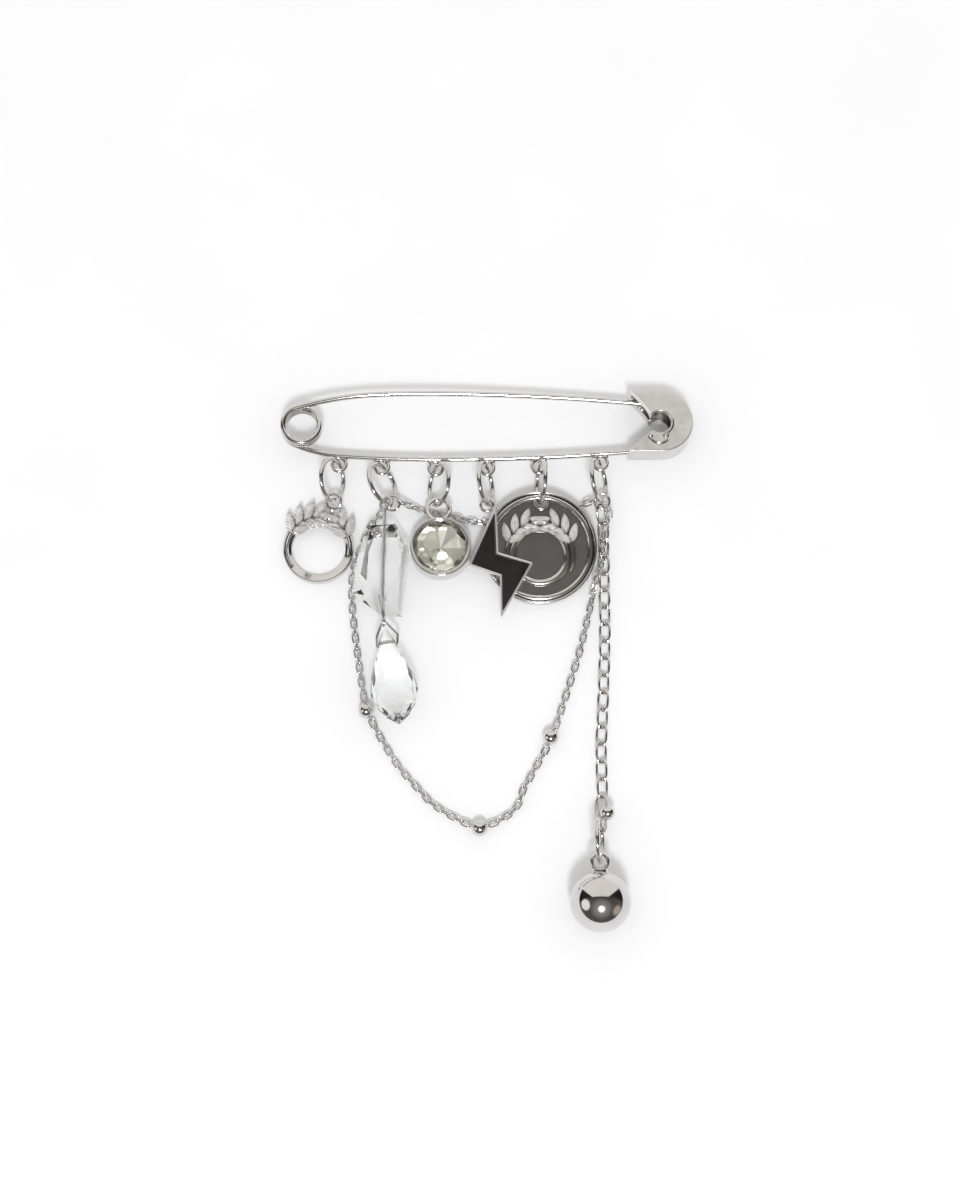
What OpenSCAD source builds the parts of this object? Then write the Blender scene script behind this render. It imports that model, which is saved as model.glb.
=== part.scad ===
// Charm brooch: a safety pin with a sheet cap and six soldered eyes.
// Six charms hang from it, with a swag of fine chain and an extension chain that ends in a ball.
// It lies on its back on a table: X runs along the pin, Y up the brooch, Z up from the table.

/* [Pin] */
// Width over the coil and the cap
pin_w = 80; // [78:0.5:84]
// Thickness of the pin wire
pin_wire = 1.15; // [1:0.05:1.2]
// Radius of the coil, at the middle of the wire
coil_r = 3.5; // [3.3:0.1:3.7]
// Height of the coil's middle above the ball's foot
coil_rise = 97.6; // [97.4:0.1:97.8]
// Free gap between two turns of the coil
coil_gap = 0.12; // [0.1:0.01:0.15]
// Slope of the needle, down towards the cap, in degrees
needle_slope = 2; // [1.6:0.1:2.2]
// Slope of the bar, up towards the cap, in degrees
bar_slope = 0.53; // [0.4:0.01:0.6]

/* [Cap] */
// Thickness of the cap over both sheets
cap_t = 6; // [5.8:0.1:6.4]
// Height of the cap across its round end
cap_h = 11.9; // [11.6:0.1:12.2]
// Thickness of the sheet
cap_sheet = 0.5; // [0.45:0.05:0.6]
// Radius of the round notch that the needle is lifted out through
notch_r = 2.1; // [2:0.05:2.2]

/* [Rings] */
// Radius of a jump ring, at the middle of the wire
ring_r = 4; // [3.95:0.01:4.05]
// Wire of a jump ring
ring_wire = 0.9; // [0.8:0.02:0.92]
// Radius of a soldered eye under the bar
eye_r = 1.35; // [1.25:0.01:1.4]
// Wire of a soldered eye
eye_wire = 0.72; // [0.6:0.02:0.74]
// Radius of the small rings that carry the fine chain
small_r = 1.45; // [1.4:0.01:1.5]
// Wire of the small rings
small_wire = 0.5; // [0.4:0.02:0.52]

/* [Charms] */
// Outer radius of the ring charm
band_r = 6.8; // [6.4:0.1:6.9]
// Diameter of the bezel
bezel_d = 11.7; // [11.4:0.1:11.8]
// Diameter of the disc
disc_d = 22; // [21.6:0.1:22]
// Thickness of the lightning bolt
bolt_t = 1.8; // [1.5:0.1:2]
// Diameter of the polished ball
ball_d = 11.2; // [11:0.1:11.4]

/* [Chains] */
// Length of a link of the extension chain
big_len = 4.4; // [4.3:0.02:4.5]
// Width of a link of the extension chain
big_wid = 2.75; // [2.6:0.05:2.8]
// Wire of the extension chain
big_wire = 0.45; // [0.4:0.01:0.47]
// Length of a link of the fine chain
fine_len = 2.36; // [2.3:0.01:2.4]
// Width of a link of the fine chain
fine_wid = 1.45; // [1.4:0.01:1.5]
// Wire of the fine chain
fine_wire = 0.34; // [0.3:0.01:0.35]
// Diameter of the beads on the swag
bead_d = 3; // [2.8:0.1:3.1]

/* [Hidden] */
$fn = 36;

METAL = [0.82, 0.81, 0.79];
GLASS = [0.9, 0.93, 0.94];
ENAMEL = [0.1, 0.09, 0.08];
STONE = [0.8, 0.82, 0.72];

// The brooch spans the same distance above and below the origin.
half_len = 52.4;
coil_x = -pin_w / 2 + coil_r + pin_wire / 2 + 0.025;
coil_y = coil_rise - half_len;
turn = pin_wire + coil_gap;

// Arcs of the needle: the first leaves the coil, the others run on from it.
arm_leave = 17.5;
arm_bend = 2.95;
arm_radii = [65, 250, 450];
arm_end = 4.85;
tip_len = 4;
// Arcs of the bar, the same way round below.
bar_leave = 25;
bar_bend = 4.5;
bar_radii = [25, 267, 450];

arm_c1 = [coil_x, coil_y] + (arm_radii[0] - coil_r) * [sin(arm_leave), -cos(arm_leave)];
arm_c2 = arm_c1 + (arm_radii[1] - arm_radii[0]) * [sin(arm_bend), -cos(arm_bend)];
arm_c3 = arm_c2 - [0, arm_radii[2] - arm_radii[1]];
bar_c1 = [coil_x, coil_y] + (bar_radii[0] - coil_r) * [sin(bar_leave), cos(bar_leave)];
bar_c2 = bar_c1 + (bar_radii[1] - bar_radii[0]) * [sin(bar_bend), cos(bar_bend)];
bar_c3 = bar_c2 + [0, bar_radii[2] - bar_radii[1]];

bar_z = 2.59;
coil_top = bar_z + (900 - bar_leave) / 360 * turn;

function bar_y(x) =
    let (c = x < bar_c2[0] ? bar_c2 : bar_c3, r = x < bar_c2[0] ? bar_radii[1] : bar_radii[2])
    c[1] - sqrt(r * r - pow(x - c[0], 2));
function bar_height(x) = bar_z + (x - coil_x) * tan(bar_slope);

// parts of wire

module hoop(r, w) rotate_extrude() translate([r, 0]) circle(d = w);

module bow(r, w, from, to)
    rotate([0, 0, from]) rotate_extrude(angle = to - from) translate([r, 0]) circle(d = w);

module ball_at(p, d) translate(p) sphere(d = d);

// A straight wire between two points.
module strut(a, b, w) {
    v = b - a;
    translate(a)
        rotate([0, acos(v[2] / norm(v)), atan2(v[1], v[0])])
            cylinder(d = w, h = norm(v));
}

// A wire bent through points, closed on itself. It has few sides, because its bends are sharp.
module bent_loop(points, w)
    for (i = [0 : len(points) - 1], $fn = 8) {
        strut(points[i], points[(i + 1) % len(points)], w);
        ball_at(points[i], w);
    }

// A link lies along X: two half rings and two straight sides.
module link(len, wid, w) {
    r = (wid - w) / 2;
    side = len - wid;
    for (end = [0, 180]) rotate([0, 0, end]) {
        translate([side / 2, 0, 0]) bow(r, w, -90, 90);
        translate([-side / 2, r, 0]) rotate([0, 90, 0]) cylinder(d = w, h = side);
    }
}

// routes of the chains

// A smooth curve through hand-picked points, as many short steps.
function ease(a, b, c, d, t) = 0.5 * (2 * b + (c - a) * t
    + (2 * a - 5 * b + 4 * c - d) * t * t + (3 * b - a - 3 * c + d) * t * t * t);
function route(p, steps = 8) = [
    for (i = [0 : len(p) - 2], k = [0 : steps - 1])
        ease(p[max(i - 1, 0)], p[i], p[i + 1], p[min(i + 2, len(p) - 1)], k / steps),
    p[len(p) - 1]];
// Distance along the curve at each step.
function runs(p) = [
    for (i = 0, s = 0; i < len(p);
        s = s + (i < len(p) - 1 ? norm(p[i + 1] - p[i]) : 0), i = i + 1) s];
// The place at distance s.
function place(p, d, s) = [for (axis = [0 : 2])
    lookup(s, [for (i = [0 : len(p) - 1]) [d[i], p[i][axis]]])];

// Links from the first point to the last, with at least the play between one and the next.
// The end links stand off by start and end. roll(k, count) is the turn of link k about the chain.
module chain(points, len, wid, w, play, start, end, roll) {
    p = route(points);
    d = runs(p);
    total = d[len(d) - 1];
    pitch_max = len - 2 * w - play;
    count = ceil((total - start - end) / pitch_max);
    pitch = (total - start - end) / count;
    for (k = [0 : count]) {
        s = start + k * pitch;
        a = place(p, d, s - pitch / 3);
        b = place(p, d, s + pitch / 3);
        v = b - a;
        translate(place(p, d, s))
            rotate([0, -asin(v[2] / norm(v)), atan2(v[1], v[0])])
                rotate([roll(k, count), 0, 0])
                    link(len, wid, w);
    }
}

// Each link of the fine chain is a quarter turn from the last. Both ends have a set roll,
// so the links between share out what is left over.
function quarter_turns(first, last) = function (k, count)
    let (spare = last - first - 90 * count, extra = spare - 180 * round(spare / 180))
    first + k * (90 + extra / count);

// The links of the extension chain lean to one side and the other by turns.
lean = 33;
function leaning() = function (k, count) k % 2 == 0 ? -lean : lean;

module fine_chain(points, start, end, first, last)
    chain(points, fine_len, fine_wid, fine_wire, 0.2, start, end, quarter_turns(first, last));

// the pin

// A wire drawn through points, as rings of flat sides. A closed one joins its last ring to its first.
wire_sides = 12;
module drawn_wire(path, w, w_end, sides = wire_sides, closed = false) {
    n = len(path);
    rings = [for (i = [0 : n - 1]) let (
            before = closed ? path[(i + n - 1) % n] : path[max(i - 1, 0)],
            after = closed ? path[(i + 1) % n] : path[min(i + 1, n - 1)],
            along = (after - before) / norm(after - before),
            level = cross(along, [0, 0, 1]),
            side = level / norm(level),
            up = cross(side, along),
            r = (i == n - 1 ? w_end : w) / 2)
        for (k = [0 : sides - 1]) let (angle = 360 * k / sides)
            path[i] + r * (cos(angle) * side + sin(angle) * up)];
    skin = [for (i = [0 : closed ? n - 1 : n - 2], k = [0 : sides - 1]) let (
            a = i * sides + k,
            b = i * sides + (k + 1) % sides,
            c = (i + 1) % n * sides + (k + 1) % sides,
            d = (i + 1) % n * sides + k)
        each [[a, b, c], [a, c, d]]];
    ends = closed ? [] : [
        [for (k = [sides - 1 : -1 : 0]) k],
        [for (k = [0 : sides - 1]) (n - 1) * sides + k]];
    polyhedron(rings, concat(skin, ends));
}

// Points along an arc in a level plane.
function arc_points(c, r, from, to, steps) = [
    for (i = [0 : steps]) let (angle = from + (to - from) * i / steps)
        [c[0] + r * cos(angle), c[1] + r * sin(angle), 0]];

// The coil winds down from 90 degrees at the top. A full turn drops it by one turn's height.
coil_step = 15;
function coil_points(from, to) = [
    for (i = [0 : round((to - from) / coil_step)])
        let (angle = from + (to - from) * i / round((to - from) / coil_step))
        [coil_x + coil_r * cos(angle), coil_y + coil_r * sin(angle),
            coil_top - (angle - 90) / 360 * turn]];

// The last point of the coil gives the height that the arcs go on from, up or down by the slope.
function sloped(points, z, slope) = [
    for (p = points) [p[0], p[1], z + (p[0] - points[0][0]) * tan(slope)]];
function after_first(points) = [for (i = [1 : len(points) - 1]) points[i]];
function turned_back(points) = [for (i = [len(points) - 1 : -1 : 0]) points[i]];

bar_corner_x = [-25, -15, -5, 5.2, 16, 27, 31.2];
bar_points = sloped(concat(
    arc_points(bar_c1, bar_radii[0], 270 - bar_leave, 260, 3),
    [for (x = bar_corner_x) [x, bar_y(x), 0]]), bar_z, bar_slope);

module bar_wire(w) drawn_wire(bar_points, w, w);

eye_x = [-28.6, -20.3, -9.8, 0.1, 10.2, 22.1];
eye_drop = 1.85;
eye_sides = 8;
// Solder beside the eye: its distance from the eye's middle, its depth under the bar, its diameter.
solder_side = 1.1;
solder_drop = 0.66;
solder_d = 0.9;

module soldered_eye(x) translate([x, bar_y(x), bar_height(x)]) {
    drawn_wire(arc_points([0, -eye_drop], eye_r, 0, 330, 11), eye_wire, eye_wire, eye_sides, true);
    for (side = [-1, 1]) translate([side * solder_side, -solder_drop, 0]) sphere(d = solder_d, $fn = 8);
}

// The bar's wire starts in the coil, where the needle's wire ends a hair away.
coil_open = 3;

module bar() color(METAL) union() {
    drawn_wire(concat(
        coil_points(450 + coil_open, 990 - bar_leave),
        after_first(bar_points)), pin_wire, pin_wire);
    for (x = eye_x) soldered_eye(x);
}

arm_points = sloped(concat(
    arc_points(arm_c1, arm_radii[0], 90 + arm_leave, 90 + arm_bend, 5),
    after_first(arc_points(arm_c2, arm_radii[1], 90 + arm_bend, 90, 2)),
    after_first(arc_points(arm_c3, arm_radii[2], 90, 90 - arm_end, 4))),
    coil_top - arm_leave / 360 * turn, -needle_slope);
arm_last = arm_points[len(arm_points) - 1];

// The round mandrel that the coil was wound on leaves a narrow flat on its inner side.
mandrel_r = coil_r - pin_wire / 2 + 0.05;

module needle() color(METAL) difference() {
    drawn_wire(concat(
        turned_back(coil_points(90 + arm_leave, 450)),
        after_first(arm_points),
        [arm_last + tip_len * [cos(arm_end), -sin(arm_end), -tan(needle_slope)]]), pin_wire, 0.25);
    translate([coil_x, coil_y, coil_top - 2 * turn]) cylinder(r = mandrel_r, h = 3 * turn);
}

cap_r = cap_h / 2;
cap_c = [pin_w / 2 - cap_r, coil_y + 0.45];
cap_left = 27.6;
socket_play = 0.2;
notch = cap_c + [-0.45, -0.15];
// The mouth between the beak and the lower part is cut by one big circle.
mouth_c = cap_c + [-17.15, -7.6];
mouth_r = 17.3;
floor_y = cap_c[1] - cap_r;
// The lip on the back sheet: its height, and how far it reaches into the cap and out of it.
lip_h = 2.2;
lip_in = 0.7;
lip_out = 0.3;
// The raised rim round the notch
rim_w = 0.5;

module cap_outline(inset = 0) {
    translate(cap_c) circle(r = cap_r - inset);
    translate([cap_left, floor_y + inset])
        square([cap_c[0] - cap_left, cap_h - 2 * inset]);
}

module mouth_outline() {
    intersection() {
        translate(mouth_c) circle(r = mouth_r);
        polygon([[cap_left - 2, floor_y - 1.4], cap_c + [3, 2.4], cap_c + [3, 8], [cap_left - 2, 54]]);
    }
    translate(notch) circle(r = notch_r);
}

module cap() color(METAL) difference() {
    union() {
        difference() {
            linear_extrude(cap_t) difference() {
                cap_outline();
                mouth_outline();
            }
            // The hollow that the needle lies and swings in.
            translate([0, 0, cap_sheet]) linear_extrude(cap_t - 2 * cap_sheet) intersection() {
                union() {
                    cap_outline(cap_sheet);
                    translate([cap_left - 1, floor_y + 3]) square([3, cap_h - 3 - cap_sheet]);
                }
                translate([cap_left - 1, floor_y + 3]) square([pin_w, cap_h]);
            }
        }
        // A low lip turned up from the back sheet along the beak.
        linear_extrude(lip_h) intersection() {
            difference() {
                cap_outline();
                mouth_outline();
            }
            translate(mouth_c) difference() {
                circle(r = mouth_r + lip_in);
                circle(r = mouth_r - lip_out);
            }
            translate([cap_left - 1, notch[1] + notch_r - 0.5]) square([8, 8]);
        }
        // A raised rim round the notch, with a curl at its end.
        translate([notch[0], notch[1], cap_t]) {
            bow(notch_r + 0.3, rim_w, -62, 138);
            translate([1.1, -2.55, 0]) hoop(0.35, 0.4);
            translate([-0.1, -2.2, 0]) bow(1.9, rim_w, 200, 318);
            translate([-1.9, -2.85, 0]) sphere(d = 0.9);
        }
    }
    // The socket that the bar is fixed in.
    bar_wire(pin_wire + socket_play);
}

// rings

// Each jump ring: its middle, then its turns about X, Y and Z.
jump_rings = [
    [[-29.76, 34.45, 4.14], [4.6, 61.8, 0.2]],
    [[-20.12, 33.69, 3.86], [-6.6, 55, 6.7]],
    [[-9.13, 33.49, 4.13], [-3.2, -61.7, 3]],
    [[-0.14, 33.47, 4.4], [-2.4, 71, 1.6]],
    [[10.3, 33.85, 4.55], [0, 88, 0]],
    [[21.7, 34.2, 4.33], [-1.6, 67.9, 1.6]],
    [[20.9, -35.4, 4.5], [0, 80, 0]]];

module jump_ring(n) color(METAL)
    translate(jump_rings[n - 1][0]) rotate(jump_rings[n - 1][1]) hoop(ring_r, ring_wire);

module jump_ring_1() jump_ring(1);
module jump_ring_2() jump_ring(2);
module jump_ring_3() jump_ring(3);
module jump_ring_4() jump_ring(4);
module jump_ring_5() jump_ring(5);
module jump_ring_6() jump_ring(6);
module jump_ring_7() jump_ring(7);

small_left = [-18.1, 30.15, 2.4];
small_right = [22.35, 30.45, 2.65];

module small_ring_left() color(METAL)
    translate(small_left) rotate([-5, -18.5, 19.5]) hoop(small_r, small_wire);
module small_ring_right() color(METAL)
    translate(small_right) rotate([5.5, 8.5, -56.5]) hoop(small_r, small_wire);

// charm 1: a ring with a sprig of leaves

band_c = [-32.4, 21.4];
band_w = 1.65;
band_t = 1.8;
// Bevels of the band's outer and inner edges
band_edge_out = 0.45;
band_edge_in = 0.3;
leaf_1 = [3.9, 1.7, 1.3];
// The leaves are sunk into what carries them by this much.
leaf_sunk = 0.5;
berry_d = 1.9;
bail_1 = [-29.54, 30.52, 2.53];
bail_wire = 0.6;

// A leaf lies flat and points along X from its stalk: two arcs that meet in points.
// Its size is its length, its width and its thickness.
module leaf(size) {
    len = size[0];
    sag = size[1] / 2;
    r = (len * len / 4 + sag * sag) / (2 * sag);
    linear_extrude(size[2]) intersection() {
        translate([len / 2, sag - r]) circle(r = r);
        translate([len / 2, r - sag]) circle(r = r);
    }
}

// Each leaf starts a little behind the stem, and leans out from it.
leaf_root = 0.4;
leaf_lean = 38;
stem_w = 0.6;
stem_under = 0.3;

// Leaves in pairs along a stem that bends with radius r, like a laurel, and one at its end.
module sprig(r, from, to, pairs, size) {
    step = (to - from) / pairs;
    for (k = [0 : pairs - 1], side = [-1, 1])
        rotate([0, 0, from + k * step])
            translate([r, 0, 0]) rotate([0, 0, 90 * sign(step) + side * leaf_lean])
                translate([-leaf_root, 0, 0]) leaf(size);
    rotate([0, 0, to]) translate([r, 0, 0])
        rotate([0, 0, 90 * sign(step)]) translate([-leaf_root, 0, 0]) leaf(size);
    rotate([0, 0, min(from, to)]) rotate_extrude(angle = abs(to - from))
        translate([r - stem_w / 2, 0]) square([stem_w, size[2] - stem_under]);
}

module leaf_ring() color(METAL) union() {
    translate([band_c[0], band_c[1], 0]) {
        rotate_extrude() polygon([
            [band_r - band_w, 0], [band_r, 0], [band_r, band_t / 2],
            [band_r - band_edge_out, band_t], [band_r - band_w + band_edge_in, band_t],
            [band_r - band_w, band_t - band_edge_in]]);
        translate([0, 0, band_t - leaf_sunk]) {
            sprig(band_r - band_w / 2, 150, 84, 4, leaf_1);
            sprig(band_r - band_w / 2, 22, 58, 2, leaf_1);
        }
        rotate([0, 0, 72]) translate([band_r - leaf_sunk, 0, band_t]) sphere(d = berry_d);
    }
    // The bail is soldered on behind the leaves, over the top of the ring.
    translate(bail_1) rotate([18.1, -9.2, 1]) hoop(small_r, bail_wire);
    strut([band_c[0] + 2.1, band_c[1] + 6, 1.1], [bail_1[0] - 0.3, bail_1[1] - small_r, 2.0], 0.8);
}

// charm 2: a clear nugget on a wire, with a drop below

wire_x = -19.6;
wire_z = 4.35;
nugget_wire_d = 0.55;
loop_2 = [-19.32, 29.51, 4.41];

// Corners of the nugget: its rim half way up, its facet on top and the one it lies on.
nugget_rim = [[-22.9, 25.2, 4], [-17.6, 25.6, 4.2], [-14.9, 21.5, 4], [-15.2, 15.6, 3.6],
    [-16.1, 7.2, 4], [-20.2, 7.6, 4], [-25.6, 11.7, 4.4], [-25.1, 17, 4.4], [-23.8, 21.9, 4.2]];
nugget_top = [[-22, 24.6, 6.4], [-18, 24.8, 6.4], [-15.8, 20.6, 6.7], [-17, 13.8, 7.6],
    [-17.3, 10.4, 7.4], [-19.9, 10.2, 7.4], [-23.9, 14.8, 7]];
nugget_foot = [[-21.5, 23, 0], [-17.5, 23, 0], [-16, 18, 0], [-17, 9.5, 0],
    [-20.5, 10, 0], [-22.8, 14, 0], [-22.5, 20, 0]];

module corners(points) {
    hull() for (p = points) translate(p) cube(0.02);
}

module nugget() color(GLASS) difference() {
    corners(concat(nugget_rim, nugget_top, nugget_foot));
    translate([wire_x, 0, wire_z]) rotate([-90, 0, 0])
        cylinder(d = nugget_wire_d + hole_play, h = 30);
}

loop_low = [-19.5, 6.2, wire_z];
loop_low_r = 0.85;
loop_low_wire = 0.45;
loop_2_r = 1.2;
// Play of a wire in a drilled crystal
hole_play = 0.25;

module nugget_wire() color(METAL) union() {
    translate([wire_x, loop_low[1] + loop_low_r, wire_z]) rotate([-90, 0, 0])
        cylinder(d = nugget_wire_d, h = loop_2[1] - loop_2_r - loop_low[1] - loop_low_r);
    translate(loop_2) rotate([-7.4, -24.2, 1]) hoop(loop_2_r, bail_wire);
    translate(loop_low) rotate([0, 80, 0]) hoop(loop_low_r, loop_low_wire);
}

// The drop's own frame: its hole is the origin, it hangs along -Y, and it leans a little.
drop_hole = [-18.85, 1.9, 3.4];
drop_turn = 9.2;
drop_dip = -7.2;
drop_hole_in = 2.8;
drop_bail_d = 0.45;
// Rings of facet corners: distance from the top, radius.
drop_rings = [[0, 0.5], [2.8, 1.8], [6, 3.05], [9.4, 4.15],
    [12.4, 4.5], [15, 3.7], [17.2, 2.1], [18.7, 0.2]];

module drop() color(GLASS)
    translate(drop_hole) rotate([0, 0, drop_turn]) rotate([drop_dip, 0, 0]) difference() {
        corners([for (i = [0 : len(drop_rings) - 1], k = [0 : 9])
            let (a = 36 * k + (i % 2) * 18, q = drop_rings[i])
            [q[1] * cos(a), drop_hole_in - q[0], q[1] * sin(a)]]);
        translate([-5, 0, 0]) rotate([0, 90, 0]) cylinder(d = drop_bail_d + 0.3, h = 10);
    }

module drop_bail() color(METAL) {
    across = [cos(drop_turn), sin(drop_turn), 0];
    foot = 1.95;
    shoulder = 2.05;
    crown = 0.45;
    rise = [0, 1.7, 0.3];
    top = [loop_low[0] + 0.05, loop_low[1] - 0.25, wire_z];
    bent_loop([
        top - crown * across,
        top + crown * across,
        drop_hole + shoulder * across + rise,
        drop_hole + foot * across,
        drop_hole - foot * across,
        drop_hole - shoulder * across + rise], drop_bail_d);
}

// charm 3: a round stone in a bezel

bezel_c = [-8.8, 21.2];
bezel_h = 3.9;
bezel_wall = 0.45;
bezel_floor = 0.6;
stone_gap = 0.1;
stone_r = bezel_d / 2 - bezel_wall - stone_gap;
bail_3 = [-9.23, 28.67, 3.29];
bail_3_r = 2.2;
bail_3_wire = 0.7;
// Rings of the stone's corners: height, radius, thickness, sides, turn in degrees.
stone_rings = [[bezel_floor + stone_gap, 0.4, 0.02, 8, 0], [3, stone_r, 0.35, 16, 11.25],
    [3.9, 4.2, 0.02, 8, 22.5], [4.45, 2.9, 0.05, 8, 0]];

module bezel() color(METAL) difference() {
    union() {
        translate([bezel_c[0], bezel_c[1], 0]) cylinder(d = bezel_d, h = bezel_h);
        translate(bail_3) rotate([2.8, -5.1, 0]) hoop(bail_3_r, bail_3_wire);
    }
    translate([bezel_c[0], bezel_c[1], bezel_floor])
        cylinder(d = bezel_d - 2 * bezel_wall, h = bezel_h + 1);
}

module stone() color(STONE) translate([bezel_c[0], bezel_c[1], 0]) hull()
    for (q = stone_rings)
        rotate([0, 0, q[4]]) translate([0, 0, q[0]]) cylinder(r = q[1], h = q[2], $fn = q[3]);

// charms 4 and 5: the bolt lies on the disc, which rests on the fine chain

disc_c = [10.3, 21.5];
disc_tilt = 6;
disc_foot = disc_c[1] - disc_d / 2;
disc_t = 1.1;
rim_t = 1.7;
// The disc's hole: its distance above the middle, and its radius.
hole_5 = 8.95;
hole_5_r = 1.1;
hole_5_x = 0.3;
// Raised rings, round the disc's middle and round the medallion's: outer radius, inner radius, height.
disc_rings = [[disc_d / 2, disc_d / 2 - 0.75, rim_t], [disc_d / 2 - 0.95, disc_d / 2 - 1.25, rim_t - 0.2]];
medallion = [0, -1.6];
medallion_rings = [[6, 5.4, disc_t + 0.55], [5.1, 4.6, disc_t + 0.4]];
leaf_5 = [3.6, 1.6, 1.5];
leaf_5_sunk = 0.3;

// The disc's own frame: its lowest point is on the table and its upper edge is raised.
module on_disc()
    translate([0, disc_foot, 0]) rotate([disc_tilt, 0, 0]) translate([0, -disc_foot, 0]) children();

module tube(r_out, r_in, h) difference() {
    cylinder(r = r_out, h = h);
    translate([0, 0, -1]) cylinder(r = r_in, h = h + 2);
}

module disc() color(METAL) on_disc() translate([disc_c[0], disc_c[1], 0]) {
    difference() {
        union() {
            cylinder(d = disc_d, h = disc_t);
            for (q = disc_rings) tube(q[0], q[1], q[2]);
            translate(medallion) for (q = medallion_rings) tube(q[0], q[1], q[2]);
            translate([hole_5_x, hole_5, 0]) cylinder(r = hole_5_r + 0.5, h = disc_t + 0.3);
            translate([medallion[0], medallion[1], disc_t - leaf_5_sunk]) {
                sprig(6.6, 24, 76, 3, leaf_5);
                sprig(6.6, 156, 104, 3, leaf_5);
            }
        }
        translate([hole_5_x, hole_5, -1]) cylinder(r = hole_5_r, h = 8);
    }
}

// Corners of the bolt, clockwise from its top.
bolt_points = [[1.9, 29.6], [2.3, 20.2], [8.9, 18.2], [2.7, 7.3], [2.6, 15.6], [-3.4, 17.7]];
bolt_rim = 0.35;
bolt_z = rim_t + 0.15;
bolt_floor = 0.8;
enamel_gap = 0.05;
eye_4 = [0.09, 29.2, 4.45];
eye_4_r = 1.2;

// The bolt's outline drawn in from its edges by the rim's width.
function drawn_in(p, w) = [for (i = [0 : len(p) - 1])
    let (a = p[(i + len(p) - 1) % len(p)], b = p[i], c = p[(i + 1) % len(p)],
        u = (b - a) / norm(b - a), v = (c - b) / norm(c - b),
        m = [u[1], -u[0]], n = [v[1], -v[0]])
    b + w * (m + n) / (1 + m * n)];

module bolt_frame() color(METAL) difference() {
    union() {
        on_disc() translate([0, 0, bolt_z]) linear_extrude(bolt_t) polygon(bolt_points);
        translate(eye_4) rotate([4, -0.7, 0.8]) hoop(eye_4_r, bail_wire);
        strut(eye_4 + [1, -0.66, 0], eye_4 + [1.9, -1.8, 0.1], bail_wire);
    }
    on_disc() translate([0, 0, bolt_z + bolt_floor])
        linear_extrude(bolt_t + 2) polygon(drawn_in(bolt_points, bolt_rim));
}

module bolt_enamel() color(ENAMEL) on_disc() translate([0, 0, bolt_z + bolt_floor + enamel_gap])
    linear_extrude(bolt_t - bolt_floor - 3 * enamel_gap)
        polygon(drawn_in(bolt_points, bolt_rim + enamel_gap));

// the extension chain and the ball

hook_top = small_right + [-0.35, -1.4, -0.1];
hook_low = [21.4, -32.65, 2.05];
extension_route = [hook_top, [22.6, 25.2, 1.15], [22.65, 14, 0.92], [22.6, 3.3, 0.92],
    [22.1, -8.3, 0.92], [21.6, -17.9, 0.92], [21.7, -25.4, 0.92], [21.4, -29, 1.05], hook_low];

module extension_chain() color(METAL)
    chain(extension_route, big_len, big_wid, big_wire, 0.12, 1.2, 1.1, leaning());

// The end bead's loop goes round the side of the last link. The bead stands on it, on a short neck.
end_loop = [22.4, -30.85, 0.85];
end_loop_r = 0.6;
end_bead_d = 2.8;
end_bead_c = [22.45, -30.1, 3.4];
end_neck_d = 0.6;

module end_bead() color(METAL) union() {
    translate(end_loop) rotate([90, 0, 8]) hoop(end_loop_r, 0.34);
    ball_at(end_bead_c, end_bead_d);
    strut(end_loop + [0, 0, end_loop_r], end_bead_c, end_neck_d);
}

ball_c = [20.8, -half_len + ball_d / 2, ball_d / 2];
// The ball's neck and eye: the neck's diameter, and how far both reach beyond the ball.
neck_d = 3;
neck_out = 0.4;
ball_eye_r = 1.5;
ball_eye_wire = 0.75;
ball_eye_out = 1.75;

module ball() color(METAL) translate(ball_c) union() {
    sphere(d = ball_d);
    rotate([-90, 0, 0]) cylinder(d = neck_d, h = ball_d / 2 + neck_out);
    translate([0, ball_d / 2 + ball_eye_out, 0]) hoop(ball_eye_r, ball_eye_wire);
}

// the fine chains

// Distance from a ring's wire to the middle of the link that hooks it.
fine_hook = fine_len / 2 - fine_wire - small_wire / 2 - 0.12;
fine_z = 0.76;

short_route = [small_left + [1.35, 0.1, 0.5], [-15.2, 29.9, 2.1], [-13.6, 29.6, 1], [-11.5, 29, fine_z],
    [-9.3, 28.6, fine_z], [-6.1, 27.9, fine_z], [-3.4, 27.1, fine_z], [-1, 26.8, fine_z],
    [1.6, 27.1, fine_z], [5, 27.5, fine_z], [10.5, 27.3, fine_z], [14, 28, 0.8],
    [16.6, 29.2, 0.8], [18.7, 30.2, 1.4], [20.6, 30.6, 2.45], small_right + [-1.3, 0.15, 0.35]];

module short_chain() color(METAL)
    fine_chain(short_route, fine_hook, fine_hook, 77.5, 93.5);

bead_1 = [12.1, -15.5, bead_d / 2];
bead_2 = [-1.3, -32.7, bead_d / 2];
bead_3 = [-22.7, -10.4, bead_d / 2];
// Distance from the middle of a bead to the middle of the link that hooks its loop.
bead_hook = bead_d / 2 + 0.12 + fine_len / 2;

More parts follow.
